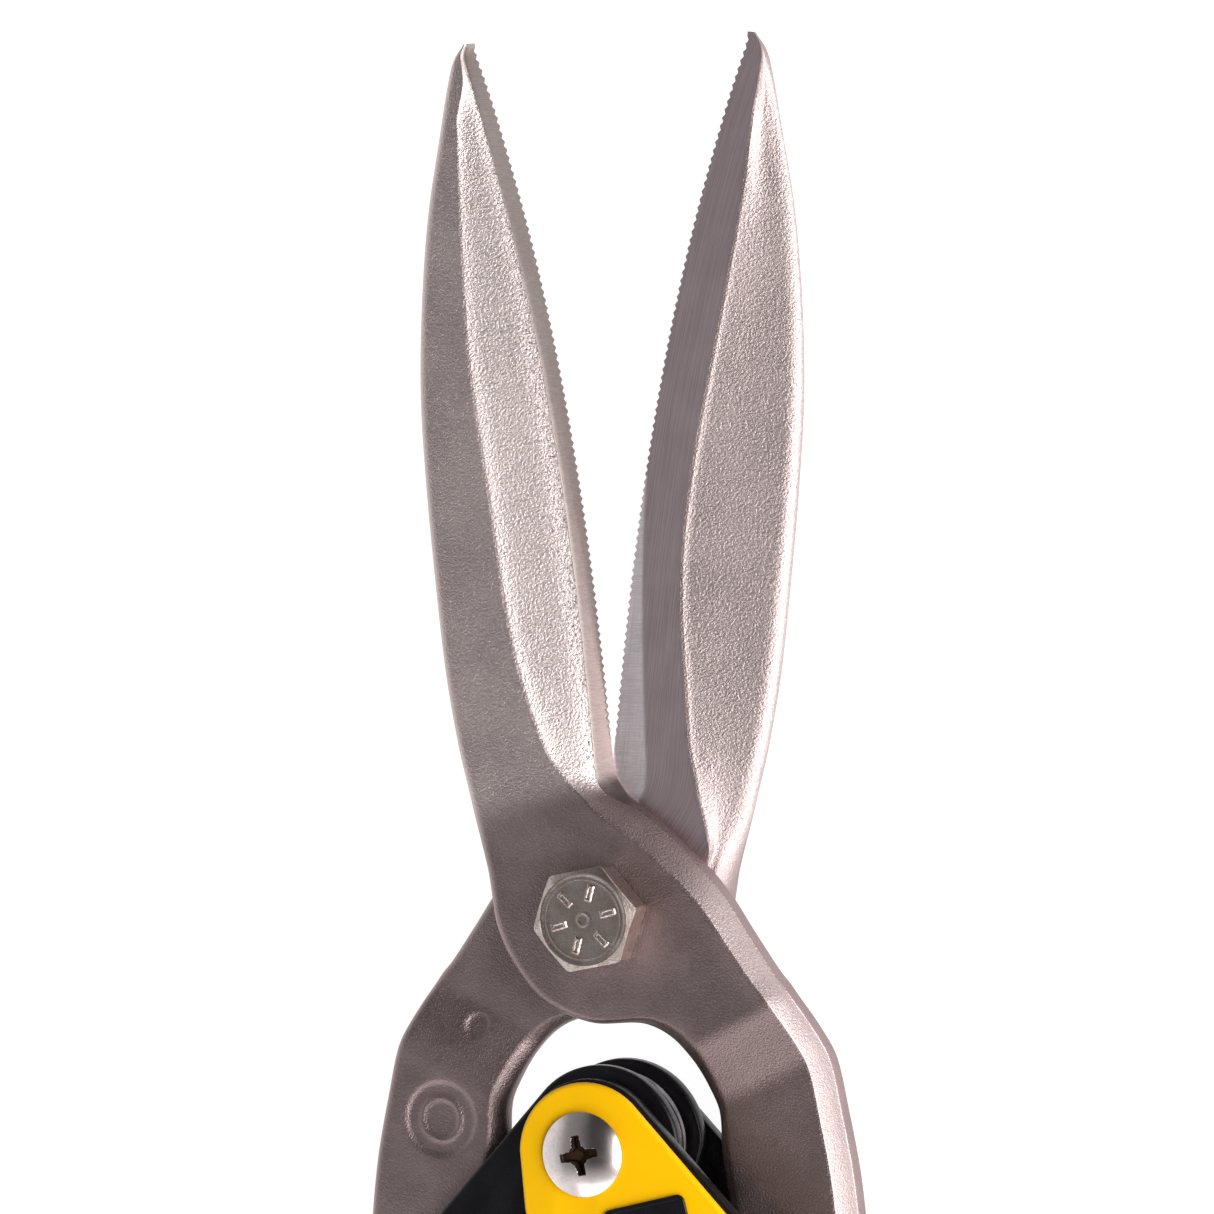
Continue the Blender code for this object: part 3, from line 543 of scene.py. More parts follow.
forgingShape = {
    "edge": [(-19.45, 115.0), (0.25, 19.4), (0.7, 17.9), (1.6, 16.8), (2.6, 15.8), (3.9, 14.8), (6.6, 12.9),
             (11.4, 8.9), (16.4, 3.8), (20.4, -2.0), (23.6, -6.6), (26.1, -9.8), (30.1, -17.3),
             (32.0, -25.0), (33.7, -34.0), (34.6, -44.0), (34.2, -52.0), (33.2, -58.0)],
    "edgeHeights": (113.4, 110.0, 104.0, 92.0, 80.0, 68.0, 56.0, 44.0, 32.0, 21.6),
    "spine": [(-20.3, 114.9), (-21.6, 112.5), (-22.3, 108.7), (-23.1, 103.0), (-24.75, 92.0),
              (-25.55, 80.0), (-25.6, 68.0), (-24.8, 56.0), (-23.6, 44.0), (-22.15, 32.0), (-20.4, 22.5),
              (-19.0, 16.8), (-17.9, 12.5), (-16.8, 9.0), (-15.9, 5.6), (-15.3, 2.0), (-14.6, -1.8),
              (-12.4, -6.5), (-8.2, -11.3), (-1.5, -14.0), (5.8, -14.2), (11.2, -17.7), (14.9, -24.7),
              (15.5, -31.0), (16.7, -38.0), (17.9, -45.0), (17.6, -52.0), (16.8, -58.0)],
    "armEndRadius": 8.2,
    "faceGap": 0.15,
    "joggle": 3.0,
    "toothPitch": 1.05,
    "toothDepth": 0.32,
    "toothProud": {1: ((0, 0.42), (2, 0.45), (6, 0.25), (10, 0.1)), -1: ((0, 0.1), (10, 0.06))},
    "ridge": 0.15,
    "rowStep": 0.36,
    "boltHole": 4.3,
    "openPinHole": 3.6,
    "pinHole": 3.3,
    "stamp": (23.9, -27.7, 4.9, 0.34),      # disc sunk in the arm: X, Y, radius, depth
    "smallStamp": (19.5, -15.3, 1.5, 0.26),
    "stampRing": (0.50, 0.64),              # parts of the disc's radius
    "shoulder": (0.9, 1.5),                 # back to wall: width on the blade, more of it on the relief
    "wallDrop": (0.9, 2.05),
    "recessDepth": 2.9,
    "recessSide": 2.6,                      # width left between the recess and the wall
    "recessInset": (1.1, 0.5),              # on the blade, more of it on the arm
    "recessLip": 0.9,
    "fluteEnd": 0.5,                        # part of the land that the tooth flutes cross
    "groundRows": (-1.0, 16.5, 0.4),        # stations: from, to, fade
    "landRows": (-1.0, 15.0, 0.6),
    "armRows": (17.6, 40.0, 1.4),
    "armBlast": 0.3,                        # coarseness of the blasting, 1 in the blade's hollow
    "backBlast": 0.42,
    "recessBlast": 0.45,
    "freshReach": 36.0,                     # newly ground corner of the strip, up from the throat
    "freshWidth": (0.3, 4.2),
}

sharperTables = {"sink": 0.14, "relief": 0.3}       # shorter averaging for these two

# Measures of the section, read by station number (one station for each outline point)
sectionAt = {
    "crest": ((0, 0.4), (1, 0.9), (2, 1.4), (2.4, 2.2), (2.8, 4.1), (3.2, 5.4), (4, 7.8), (5, 10.2),
              (6, 11.2), (8, 11.25), (9, 10.4), (10, 7.3), (11, 5.4), (12, 4.2), (13, 3.7), (15, 3.5),
              (17, 3.2), (19, 2.7), (31, 2.4)),
    "strip": ((0, 0.95), (1, 0.92), (2.1, 0.7), (3.1, 0.52), (4, 0.45), (5, 0.385), (6, 0.33),
              (7, 0.3), (8, 0.31), (9, 0.41), (10, 0.51), (11, 0.6), (12, 0.67), (13, 0.8), (14, 0.89),
              (15, 0.95), (31, 0.95)),
    "crown": ((0, 1.4), (1, 2.7), (2, 3.3), (3, 3.7), (6, 5.1), (10, 5.5), (12, 5.5), (13, 5.95), (14, 6.0),
              (31, 6.0)),
    "recess": ((0, 0.0), (1, 0.3), (3, 1.0), (12, 1.0), (15, 0.0), (31, 0.0)),
    "land": ((0, 0.35), (1, 0.8), (4, 1.2), (9, 1.4), (12, 1.75), (13, 1.85), (14, 1.3), (15, 0.7), (16, 0.5),
             (31, 0.5)),
    "landUp": ((0, 0.9), (1, 1.9), (4, 2.7), (9, 3.0), (13, 3.0), (15, 2.7), (31, 2.7)),
    "blade": ((0, 1.0), (11.6, 1.0), (13, 0.0), (31, 0.0)),
    "sink": ((0, 0.0), (21, 0.0), (22, 1.0), (31, 1.0)),
    "relief": ((0, 0.0), (19, 0.0), (20, 1.0), (21, 1.0), (22, 0.3), (31, 0.0)),
}


def edgeX(y):
    # cutting edge of the front blade: a gently bowed cubic of the height above the throat
    t = y - forgingShape["edgeHeights"][-1]
    return -(0.1011 * t + 0.00051 * t**2 + 7.13e-6 * t**3) - 0.05


def forgingOutlines():
    # edge side and spine side as lists of equal length, closed round the arm's eye
    k = forgingShape
    edge = k["edge"][:1] + [(edgeX(y), y) for y in k["edgeHeights"]] + k["edge"][1:]
    spine = list(k["spine"])
    for lean in (35.0, 65.0, 80.0):
        half = k["armEndRadius"] * cos(radians(lean))
        low = rightPin[1] - k["armEndRadius"] * sin(radians(lean))
        edge.append((rightPin[0] + half, low))
        spine.append((rightPin[0] - half, low))
    return edge, spine


def stationRows(edge, spine):
    # Fractional station numbers of the rows: four to a tooth down the cutting edge, then even steps.
    k = forgingShape
    fine = np.linspace(0, len(edge) - 1, 6001)
    heights = smoothLine(edge, fine)[:, 1]
    middle = (smoothLine(edge, fine) + smoothLine(spine, fine)) / 2
    last = len(k["edgeHeights"])
    onBlade = (fine >= 1) & (fine <= last)
    toothRows = np.arange(k["edgeHeights"][0], k["edgeHeights"][-1], -k["toothPitch"] / 4)
    blade = np.interp(-toothRows, -heights[onBlade], fine[onBlade])
    below = fine >= last
    length = np.concatenate([[0], np.cumsum(np.hypot(*np.diff(middle[below], axis=0).T))])
    count = int(length[-1] / k["rowStep"])
    arm = np.interp(np.linspace(0, length[-1], count), length, fine[below])
    return np.concatenate([np.linspace(0, 1, 8)[:-1], blade, arm[1:]])


def forging(name, turn):
    # Sections carried from the tip to the arm's eye. In each section d runs from the edge side to the
    # spine side: notched edge with a flute for each tooth, ground land, hollow, crest (a low ridge on
    # the arm), flat back, wall, recessed web, mating strip. Notches are a zigzag of the height Y.
    # turn = -1 gives the same forging turned half round about Y.
    k = forgingShape
    edge, spine = forgingOutlines()
    s = stationRows(edge, spine)
    right = smoothLine(edge, s)
    left = smoothLine(spine, s)
    width = np.hypot(*(left - right).T)
    m = {key: eased(table, s, sharperTables.get(key, 0.5)) for key, table in sectionAt.items()}
    sink = -k["joggle"] * m["sink"]
    top = m["crown"]
    bladed = m["blade"]
    low = k["faceGap"] + 0 * s
    land = np.minimum(m["land"], 0.3 * width)
    up = np.minimum(m["landUp"], top - 0.4)
    crest = np.maximum(np.minimum(m["crest"], 0.6 * width), land + 0.25)
    slope = crest - land
    rise = top - up
    shoulder = np.minimum(k["shoulder"][0] + k["shoulder"][1] * m["relief"], 0.25 * width)
    wall = top - k["wallDrop"][0] - k["wallDrop"][1] * m["relief"]
    strip = np.maximum(m["strip"] * width, 0.15 * width)
    toothed = box(s, 0.25, len(k["edgeHeights"]) - 0.25, 0.5)
    phase = (right[:, 1] / k["toothPitch"]) % 1.0
    notch = 0.02 + k["toothDepth"] * toothed * (1 - np.abs(2 * phase - 1))
    arm = eased(((0, 0), (12, 0), (14, 1), (31, 1)), s)
    outer = np.minimum(k["recessDepth"], 0.42 * top) * m["recess"]
    wallLow = low + outer + np.minimum(1.5 + 0.6 * arm, 0.42 * (wall - low - outer))
    tipFree = eased(((0, 0.0), (1, 0.1), (2.4, 1.0), (31, 1.0)), s)
    webOut = np.minimum(k["recessSide"], 0.28 * width) * (0.2 + 0.8 * tipFree)
    inset = np.minimum(k["recessInset"][0] + k["recessInset"][1] * arm, 0.13 * width)
    inset = np.minimum(inset, 0.6 * webOut)
    strip = np.minimum(strip, width - webOut - 0.5 * tipFree - 0.02)
    web = width - webOut - strip
    lip = np.minimum(k["recessLip"], 0.3 * web)
    proud = eased(k["toothProud"][turn], s) * box(s, -1.0, len(k["edgeHeights"]) - 0.25, 0.5)
    first = notch - proud
    rake = (up - low) / (land + proud)
    flute = k["fluteEnd"] * land
    corners = [
        (first + 0.7 * arm, low),
        (first + 0.02, low + notch * rake + 0.02 + 0.7 * arm),
        (flute, low + (flute + proud) * rake + 0.35 * arm),
        (land, up),
        (land + 0.14, up - 0.10 * bladed + 0.1 * (1 - bladed)),
        (land + 0.20 * slope + 0.1, up + rise * (0.26 * bladed + 0.33 * (1 - bladed))),
        (land + 0.52 * slope, up + rise * (0.48 * bladed + 0.64 * (1 - bladed))),
        (land + 0.84 * slope, up + rise * (0.74 * bladed + 0.93 * (1 - bladed))),
        (crest, top + k["ridge"] * arm),
        (crest + 1.2 * arm + 0.05 * (width - shoulder - crest), top),
        (width - shoulder, top),
        (width, wall),
        (width, wallLow),
        (width - inset, low + outer),
        (strip + lip + 0.62 * (web - lip), low + 0.66 * outer),
        (strip + lip, low + 0.20 * outer),
        (strip, low),
    ]
    radius = [0.01, 0.01, 0.01, 0.07, 0.08, 0.7, 1.6, 0.8, 0.6, 0.6, 0.7, 0.6, 0.8, 0.8, 2.4, 0.5, 0.18]
    radius = np.tile(radius, (len(s), 1))
    radius[:, :2] += 0.5 * arm[:, None]
    radius[:, 8] += 0.5 * bladed
    radius[:, 12:14] += 0.7 * arm[:, None]
    bends = (2, 2, 1, 2, 2, 2, 4, 3, 5, 3, 5, 3, 4, 4, 5, 4, 2)
    runs = (1, 1, 2, 1, 1, 2, 3, 1, 1, 12, 2, 3, 1, 4, 8, 1, 38)
    section = roundedRows(np.stack([np.stack(c, axis=1) for c in corners], axis=1), radius, bends, runs)
    d, z = section[..., 0], section[..., 1] + sink[:, None]
    along = (left - right) / width[:, None]
    x = right[:, :1] + along[:, :1] * d
    y = right[:, 1:] + along[:, 1:] * d
    firstOf = np.cumsum([0] + [b + r for b, r in zip(bends, runs)])
    back = np.zeros(d.shape[1])
    back[firstOf[13]:] = 1.0
    z = z + back * stamped(x, y, *k["stamp"], ringAt=k["stampRing"]) + back * stamped(x, y, *k["smallStamp"])
    grid = np.stack([turn * x, y, turn * z], axis=-1)
    piece = tubeMesh(name, grid)

    column = np.arange(d.shape[1])
    onLand = (column >= firstOf[1]) & (column <= firstOf[3] + 1)
    onStrip = (column >= firstOf[16] + 1) | (column == 0)
    onWeb = (column > firstOf[3] + 1) & (column < firstOf[8] + 2)
    onFlat = (column >= firstOf[8] + 2) & (column < firstOf[12])
    onRecess = (column >= firstOf[12]) & (column < firstOf[16])
    groundRows = box(s, *k["groundRows"])[:, None]
    landRows = box(s, *k["landRows"])[:, None]
    armRows = box(s, *k["armRows"])[:, None]
    bladeRows = bladed[:, None]
    webbed = onWeb * np.maximum(bladeRows, k["armBlast"] * armRows) + k["backBlast"] * onFlat * bladeRows
    webbed = np.maximum(webbed, k["recessBlast"] * onRecess * m["recess"][:, None])
    pitted = onWeb * bladeRows * box(d, land[:, None] - 1, (land + 0.27 * slope)[:, None], 1.0)
    inFresh = k["edgeHeights"][-1] + k["freshReach"] - y
    zone = k["freshWidth"][0] + k["freshWidth"][1] * np.clip(inFresh / k["freshReach"], 0, 1.4) ** 1.2
    layers = {
        "ground": onStrip * groundRows,
        "land": onLand * landRows,
        "web": webbed,
        "pitted": pitted,
        "fresh": onStrip * box(d, -1, zone, 0.5) * (inFresh > 0),
    }
    travel = np.stack([k["edge"][0][1] - y, d, z], axis=-1)
    for key, values in layers.items():
        addLayer(piece, key, values + 0 * d)
    addLayer(piece, "travel", travel, "FLOAT_VECTOR", "vector")
    pinAt, hole = ((rightPin, k["openPinHole"]), (leftPin, k["pinHole"]))[turn < 0]
    return finished(piece, [rod((0, 0), k["boltHole"]), rod(pinAt, hole)], angle=38)


def stamped(x, y, middleX, middleY, radius, depth, ringAt=None):
    # a flat-bottomed disc sunk into the mating face, with a plain raised ring in it
    away = np.hypot(x - middleX, y - middleY)
    sunk = depth * box(away, -1, radius, 0.5)
    if ringAt:
        sunk = sunk - 0.7 * depth * box(away, ringAt[0] * radius, ringAt[1] * radius, 0.35)
    return sunk


bladeBodies = {"blade_front": (1, "front_blade"), "blade_rear": (-1, "rear_blade")}
for name, (turn, body) in bladeBodies.items():
    settle(forging(name + "_forging", turn), body, looks["forged_steel"], "forged_steel", name)
print("forgings made")


# Blade bolt, washer and nut

boltShape = {
    "acrossFlats": 12.7,
    "turn": 11.5,           # degrees from +X to a corner of the head
    "faceRadius": 6.05,     # flat round face inside the chamfer
    "chamfer": 22.0,        # degrees
    "shankRadius": 4.0,
    "headUnder": 6.3,
    "sideProud": 0.06,
    "markSpan": (2.5, 4.6),
    "markHalf": 0.42,
    "markHeight": 0.16,
    "markTurn": 15.5,
    "markCount": 6,
    "centreRing": (0.65, 0.95),
    "faintRing": (5.1, 5.3),
    "steps": 288,
}


def hexRadius(angle, turn):
    # distance from the middle to the side of the hexagon at each angle
    half = boltShape["acrossFlats"] / 2
    within = (angle - turn) % (pi / 3) - pi / 6
    return np.minimum(half / np.cos(within), half / cos(pi / 6) - 0.14)


def bolt():
    # Rings from the middle of the head out over its chamfer, down the six sides, in under the head,
    # down the shank and to the middle of its end.
    k = boltShape
    bottom, top = nodeSpan("pivot_bolt", 2)
    under = k["headUnder"]
    angle = np.linspace(0, 2 * pi, k["steps"], endpoint=False)
    side = hexRadius(angle, radians(k["turn"]))
    face = np.concatenate([[0.03, 0.3], np.arange(0.5, 2.3, 0.15), np.arange(2.3, 4.9, 0.1),
                           np.arange(4.95, k["faceRadius"], 0.12)])[:, None]
    share = 2 * pi / k["markCount"]
    sector = (angle - radians(k["markTurn"]) + share / 2) % share - share / 2
    mark = box(face, *k["markSpan"], 0.22) * box(face * np.sin(sector), -k["markHalf"], k["markHalf"], 0.22)
    hollow = 0.55 * box(face, k["markSpan"][0] + 0.3, k["markSpan"][1] - 0.3, 0.2)
    hollow = hollow * box(face * np.sin(sector), -0.5 * k["markHalf"], 0.5 * k["markHalf"], 0.2)
    ring = box(face, *k["centreRing"], 0.2) * 0.5 + box(face, *k["faintRing"], 0.2) * 0.25
    faceTop = top - 0.02 - 0.10 * box(face, -1, 5.7, 0.5) + k["markHeight"] * (mark - hollow + ring)
    rows = [(face + 0 * angle, faceTop + 0 * angle)]
    drop = tan(radians(k["chamfer"]))
    for f in (0.0, 0.02, 0.1, 0.4, 0.7, 0.9, 1.0):
        r = k["faceRadius"] + (side - k["faceRadius"]) * f
        rows.append((r, top - 0.03 * (f == 0) - np.maximum(r - k["faceRadius"], 0) * drop))
    rim = top - (side - k["faceRadius"]) * drop
    for f in (0.03, 0.5, 0.97):
        rows.append((side + k["sideProud"], rim + (under + 0.25 - rim) * f))
    rows.append((side - 0.2, under + 0 * angle))
    shank = k["shankRadius"]
    for r, z in ((shank + 0.4, under), (shank, under - 0.3), (shank, bottom + 0.5), (shank - 0.5, bottom)):
        rows.append((r + 0 * angle, z + 0 * angle))
    for r in (2.0, 0.03):
        rows.append((r + 0 * angle, bottom + 0 * angle))
    radius = np.vstack([np.atleast_2d(r) for r, _ in rows])
    height = np.vstack([np.atleast_2d(z) for _, z in rows])
    return finished(polarMesh("bolt_marked_head", (0, 0), radius, height, k["steps"]), angle=20)


def hexNut():
    # the hexagon between two chamfered faces, bored for the shank, with a raised lock ring at its rear
    low, high = nodeSpan("pivot_nut", 2)
    steps, turn = 192, 0.4
    angle = np.linspace(0, 2 * pi, steps, endpoint=False)
    side = hexRadius(angle, turn)
    bore = boltShape["shankRadius"] + 0.3
    face = boltShape["faceRadius"] - 0.1
    rows = [(bore, high - 0.4), (bore + 0.4, high), (face, high), (None, high - 0.4), (None, low + 1.2),
            (face, low + 0.8), (face - 0.5, low + 0.7), (face - 0.8, low), (bore + 0.5, low),
            (bore, low + 0.4)]
    radius = np.array([side if r is None else r + 0 * angle for r, _ in rows])
    height = np.array([z + 0 * angle for _, z in rows])
    grid = np.stack([radius * np.cos(angle), radius * np.sin(angle), height], axis=-1)
    nut = meshFrom("pivot_lock_nut", grid.reshape(-1, 3), closedFaces(len(rows), steps))
    return finished(nut, edge=0.12, segments=2)


settle(bolt(), "rear_blade", looks["bolt_plate"], "nickel_plate", "pivot_bolt")
settle(hexNut(), "rear_blade", looks["nickel_plate"], "nickel_plate", "pivot_nut")
rounding = [0.1, 0.35, 0.2, 0.1]
washer = plainRing("pivot_round_washer", "pivot_washer", (0, 0), 4.3, 8.0, rounding, turnSteps=96)
settle(washer, "rear_blade", looks["nickel_plate"], "nickel_plate", "pivot_washer")
print("blade pivot made")


# Handles: two pressed channels, each one cheek plate over another with a web on the outer side

handleShape = {
    "sheet": 2.0,
    "earRadius": {"left": 10.9, "right": 9.5},
    "eyeRadius": 10.5,
    "half": 8.3,
    "reach": 119.0,
    "angle": 21.6,          # degrees, right handle, open
    "bow": 4.0,
    "webStart": 0.15,
    "crotch": [(14.0, -75.0), (6.0, -66.0), (-1.0, -57.5), (-6.5, -48.0), (-8.8, -38.0)],
    "barrelHole": 4.3,
    "eyeHole": 3.3,
    "rivetHole": 2.1,
    "studHole": 1.9,
    "edge": 0.45,
}


def gripPoint(t, side):
    # point at fraction t down the right handle's bowed centre line, side mm to its outer side
    k = handleShape
    lean = radians(k["angle"])
    t = np.asarray(t, float)
    down = t * k["reach"]
    out = side + k["bow"] * 4 * t * (1 - t)
    x = rightPin[0] + sin(lean) * down + cos(lean) * out
    y = rightPin[1] - cos(lean) * down + sin(lean) * out
    return np.stack([x, y], axis=-1)


toPin = rightPin - handlePivot
pinAngle = degrees(atan2(toPin[0], -toPin[1]))


def cheekOutline(ear):
    # one side plate: ear round the handle pivot, eye round the arm pin, then down both sides
    k = handleShape
    bend = degrees(asin((ear - k["eyeRadius"]) / hypot(*toPin)))
    half = k["half"]
    return np.concatenate([
        arcLine(handlePivot, ear, 180, pinAngle + bend, 48),
        arcLine(rightPin, k["eyeRadius"], pinAngle + bend, 30, 10),
        gripPoint(np.linspace(0.12, 0.97, 28), half),
        gripPoint([1.0, 1.0], np.array([half - 3.5, 3.5 - half])),
        gripPoint(np.linspace(0.97, 0.3, 22), -half),
        smoothPath([tuple(gripPoint(0.24, -half - 0.6))] + k["crotch"], 8),
    ])


def pocketOutline():
    # the space between the side plates, all but the web on the outer side
    k = handleShape
    around = np.array([(-30.0, -60.0), (-30.0, -10.0), (30.0, -8.0), (52.0, -35.0), (55.0, -62.0)])
    return np.concatenate([
        gripPoint(np.linspace(k["webStart"], 1.05, 24), k["half"] - k["sheet"]),
        gripPoint(np.linspace(1.05, 0.3, 8), -k["half"] - 12),
        around,
        gripPoint([k["webStart"]], k["half"] + 10),
    ])


def channel(name, side):
    # the two side plates and their web, drilled for the barrel, the arm pin and the latch
    k = handleShape
    flip = (1, 1) if side == "right" else (-1, 1)
    low, high = nodeSpan("handle_frame_" + side, 2)
    body = slab(name, cheekOutline(k["earRadius"][side]) * flip, (low, high))
    pocket = slab("pocket", pocketOutline() * flip, (low + k["sheet"], high - k["sheet"]))
    latchHole = k["rivetHole"] if side == "right" else k["studHole"]
    holes = [
        pocket,
        rod(handlePivot, k["barrelHole"]),
        rod(rightPin * flip, k["eyeHole"]),
        rod(latchPivot * flip, latchHole, 1.0, 20.0),
    ]
    return finished(body, holes, edge=k["edge"], segments=3, angle=50)


for side in ("left", "right"):
    settle(channel("handle_channel_" + side, side), side + "_handle", looks["black_paint"], "black_paint",
           "handle_frame_" + side)
print("handle channels made")


# Yellow cover and its plain black panel

coverShape = {
    "radius": 9.2,
    "reach": 29.5,
    "hole": 2.9,
    "edge": 0.55,
    "inner": [(-0.2, -56.5), (-5.9, -47.8), (-8.5, -38.0)],
}

panelShape = {
    "size": (11.5, 13.0),
    "tilt": 14.5,
    "middle": (9.8, -42.6),
    "corner": 1.0,
    "border": 0.55,
}


def fromHandlePivot(reach, side):
    # reach along the line from the handle pivot to the right arm pin, side across it
    along = toPin / hypot(*toPin)
    across = np.array((-along[1], along[0]))
    return handlePivot + along * reach + across * side


def cover():
    # an arc round the handle pivot, then straight down to a softened corner at each side of its lower end
    k = coverShape
    r, reach = k["radius"], k["reach"]
    lower = [(3, r + 0.5), (0.8, r - 0.3), (0, r - 2.5), (0, -13.0), (0.9, -15.0), (2.5, -16.0)]
    outline = np.concatenate([
        arcLine(handlePivot, r, 180, pinAngle, 56),
        [fromHandlePivot(reach - short, side) for short, side in lower],
        smoothPath(k["inner"], 8),
    ])
    body = slab("handle_yellow_cover", outline, nodeSpan("handle_cover", 2))
    return finished(body, [rod(handlePivot, k["hole"])], edge=k["edge"], segments=4, angle=35)


def roundedBox(size, corner, inset, steps=8):
    # a box outline about the middle, inset all round, with an arc at each corner
    wide, high = size[0] / 2 - corner, size[1] / 2 - corner
    bend = max(corner - inset, 0.05)
    spots = ((1, 1, 0), (-1, 1, 90), (-1, -1, 180), (1, -1, 270))
    return np.concatenate([arcLine((sx * wide, sy * high), bend, a, a + 90, steps) for sx, sy, a in spots])


def panel():
    # a plate whose top steps down by a hair inside a thin raised border
    k = panelShape
    low, high = nodeSpan("cover_panel", 2)
    tilt = radians(k["tilt"])
    turned = np.array(((cos(tilt), sin(tilt)), (-sin(tilt), cos(tilt))))
    inner = k["border"]
    rows = []
    for inset, z in ((0.0, low), (0.0, high - 0.1), (0.1, high), (inner, high), (inner + 0.08, high - 0.09)):
        line = roundedBox(k["size"], k["corner"], inset) @ turned + k["middle"]
        rows.append(np.column_stack([line, np.full(len(line), z)]))
    return finished(tubeMesh("cover_black_panel", np.stack(rows)), angle=30)


settle(cover(), "right_handle", looks["yellow_plastic"], "yellow_plastic", "handle_cover")
settle(panel(), "right_handle", looks["black_paint"], "black_paint", "cover_panel")
print("cover made")


# Handle pivot: cross-head screw, barrel and bush

screwShape = {
    "headRadius": 5.5,
    "shankRadius": 2.6,
    "end": -8.6,
    "crossTurn": 12.0,      # degrees
    "crossReach": 2.5,
    "crossHalf": 0.72,
    "crossTip": 0.46,
    "crossDepth": 2.3,
    "domeHeight": 1.45,
    "headHeight": 1.9,
    "steps": 288,
}


def crossScrew():
    # A low dome over the head with a tapering cross sunk in it, then the rim, the underside and shank.
    k = screwShape
    top = nodeSpan("handle_pivot_screw", 2)[1]
    rimZ = top - k["headHeight"]
    angle = np.linspace(0, 2 * pi, k["steps"], endpoint=False)
    r = [[0.02], np.arange(0.15, 2.9, 0.075), np.linspace(2.95, 5.2, 16), [5.35, 5.45, k["headRadius"]]]
    r = np.concatenate(r)[:, None]
    dome = top - k["domeHeight"] * (r / k["headRadius"]) ** 2.3
    turned = angle - radians(k["crossTurn"])
    u, v = np.abs(r * np.cos(turned)), np.abs(r * np.sin(turned))
    far, near = np.maximum(u, v), np.minimum(u, v)
    half = k["crossHalf"] + (k["crossTip"] - k["crossHalf"]) * far / k["crossReach"]
    flare = box(far + near, -1, 1.75, 0.25)
    arms = box(near, -1, half, 0.16) * box(far, -1, k["crossReach"], 0.22)
    sunk = np.maximum(arms, flare) * k["crossDepth"] * (1.0 - 0.45 * far / k["crossReach"])
    rows = [(r + 0 * angle, dome - sunk)]
    head, shank, end = k["headRadius"], k["shankRadius"], k["end"]
    below = ((head, rimZ + 0.25), (head - 0.2, rimZ), (shank + 0.2, rimZ), (shank, rimZ - 0.2),
             (shank, end + 0.3), (shank - 0.3, end), (1.0, end), (0.02, end))
    for radius, z in below:
        rows.append((radius + 0 * angle[None], z + 0 * angle[None]))
    radius = np.vstack([a for a, _ in rows])
    height = np.vstack([b for _, b in rows])
    screw = polarMesh("pivot_cross_screw", handlePivot, radius, height, k["steps"])
    # painted shade in the cross: darker the deeper it is sunk
    recessShade = np.zeros_like(radius)
    recessShade[:len(r)] = np.clip(sunk * 1.6 - 0.5, 0, 1)
    addLayer(screw, "recessShade", recessShade)
    return finished(screw, angle=50)


def flangedBarrel():
    # a bored tube with a wider flange at its rear end
    inner, tube, wide, flangeHeight = 2.9, 4.0, 7.0, 1.5
    low, high = nodeSpan("handle_pivot_barrel", 2)
    flange = low + flangeHeight
    line = [(inner, high), (tube, high), (tube, flange), (wide, flange), (wide, low), (inner, low)]
    radii = [0.1, 0.3, 0.3, 0.35, 0.6, 0.3]
    return finished(lathe("pivot_flanged_barrel", handlePivot, line, radii, bore=inner, turnSteps=96))


settle(crossScrew(), "right_handle", looks["nickel_plate"], "nickel_plate", "handle_pivot_screw")
settle(flangedBarrel(), "right_handle", looks["gunmetal"], "gunmetal", "handle_pivot_barrel")
bush = plainRing("spring_turned_bush", "spring_bush", handlePivot, 4.3, 7.0, [0.1, 0.4, 0.4, 0.1])
settle(bush, "right_handle", looks["gunmetal"], "gunmetal", "spring_bush")


# Torsion spring

springShape = {
    "wire": 1.1,
    "coil": 8.6,
    "rise": 1.76,
    "legAngle": 12.0,       # degrees
    "legSteps": (3, 12, 24, 35),
    "around": 20,
}


def springPath():
    # left leg, one and a half turns clockwise while rising, right leg; the left leg mirrors the right
    k = springShape
    lean = radians(k["legAngle"])
    start = pi - lean
    f = np.linspace(0, 1, 181)
    a = start - (2 * pi + start - lean) * f
    coil = np.column_stack([handlePivot[0] + k["coil"] * np.cos(a), handlePivot[1] + k["coil"] * np.sin(a),
                            k["rise"] * (2 * f - 1)])
    x, y, z = coil[-1]
    leg = [(x + sin(lean) * d, y - cos(lean) * d, z) for d in k["legSteps"]]
    foot = gripPoint(0.30, handleShape["half"] - handleShape["sheet"] - k["wire"] - 0.3)
    bend = np.array(leg[-1])
    leg += [tuple(bend + (np.array((*foot, z)) - bend) * f) for f in (0.12, 1.0)]
    right = smoothPath(leg, 10)
    left = right[::-1] * (-1, 1, -1)
    return np.concatenate([left, coil, right])


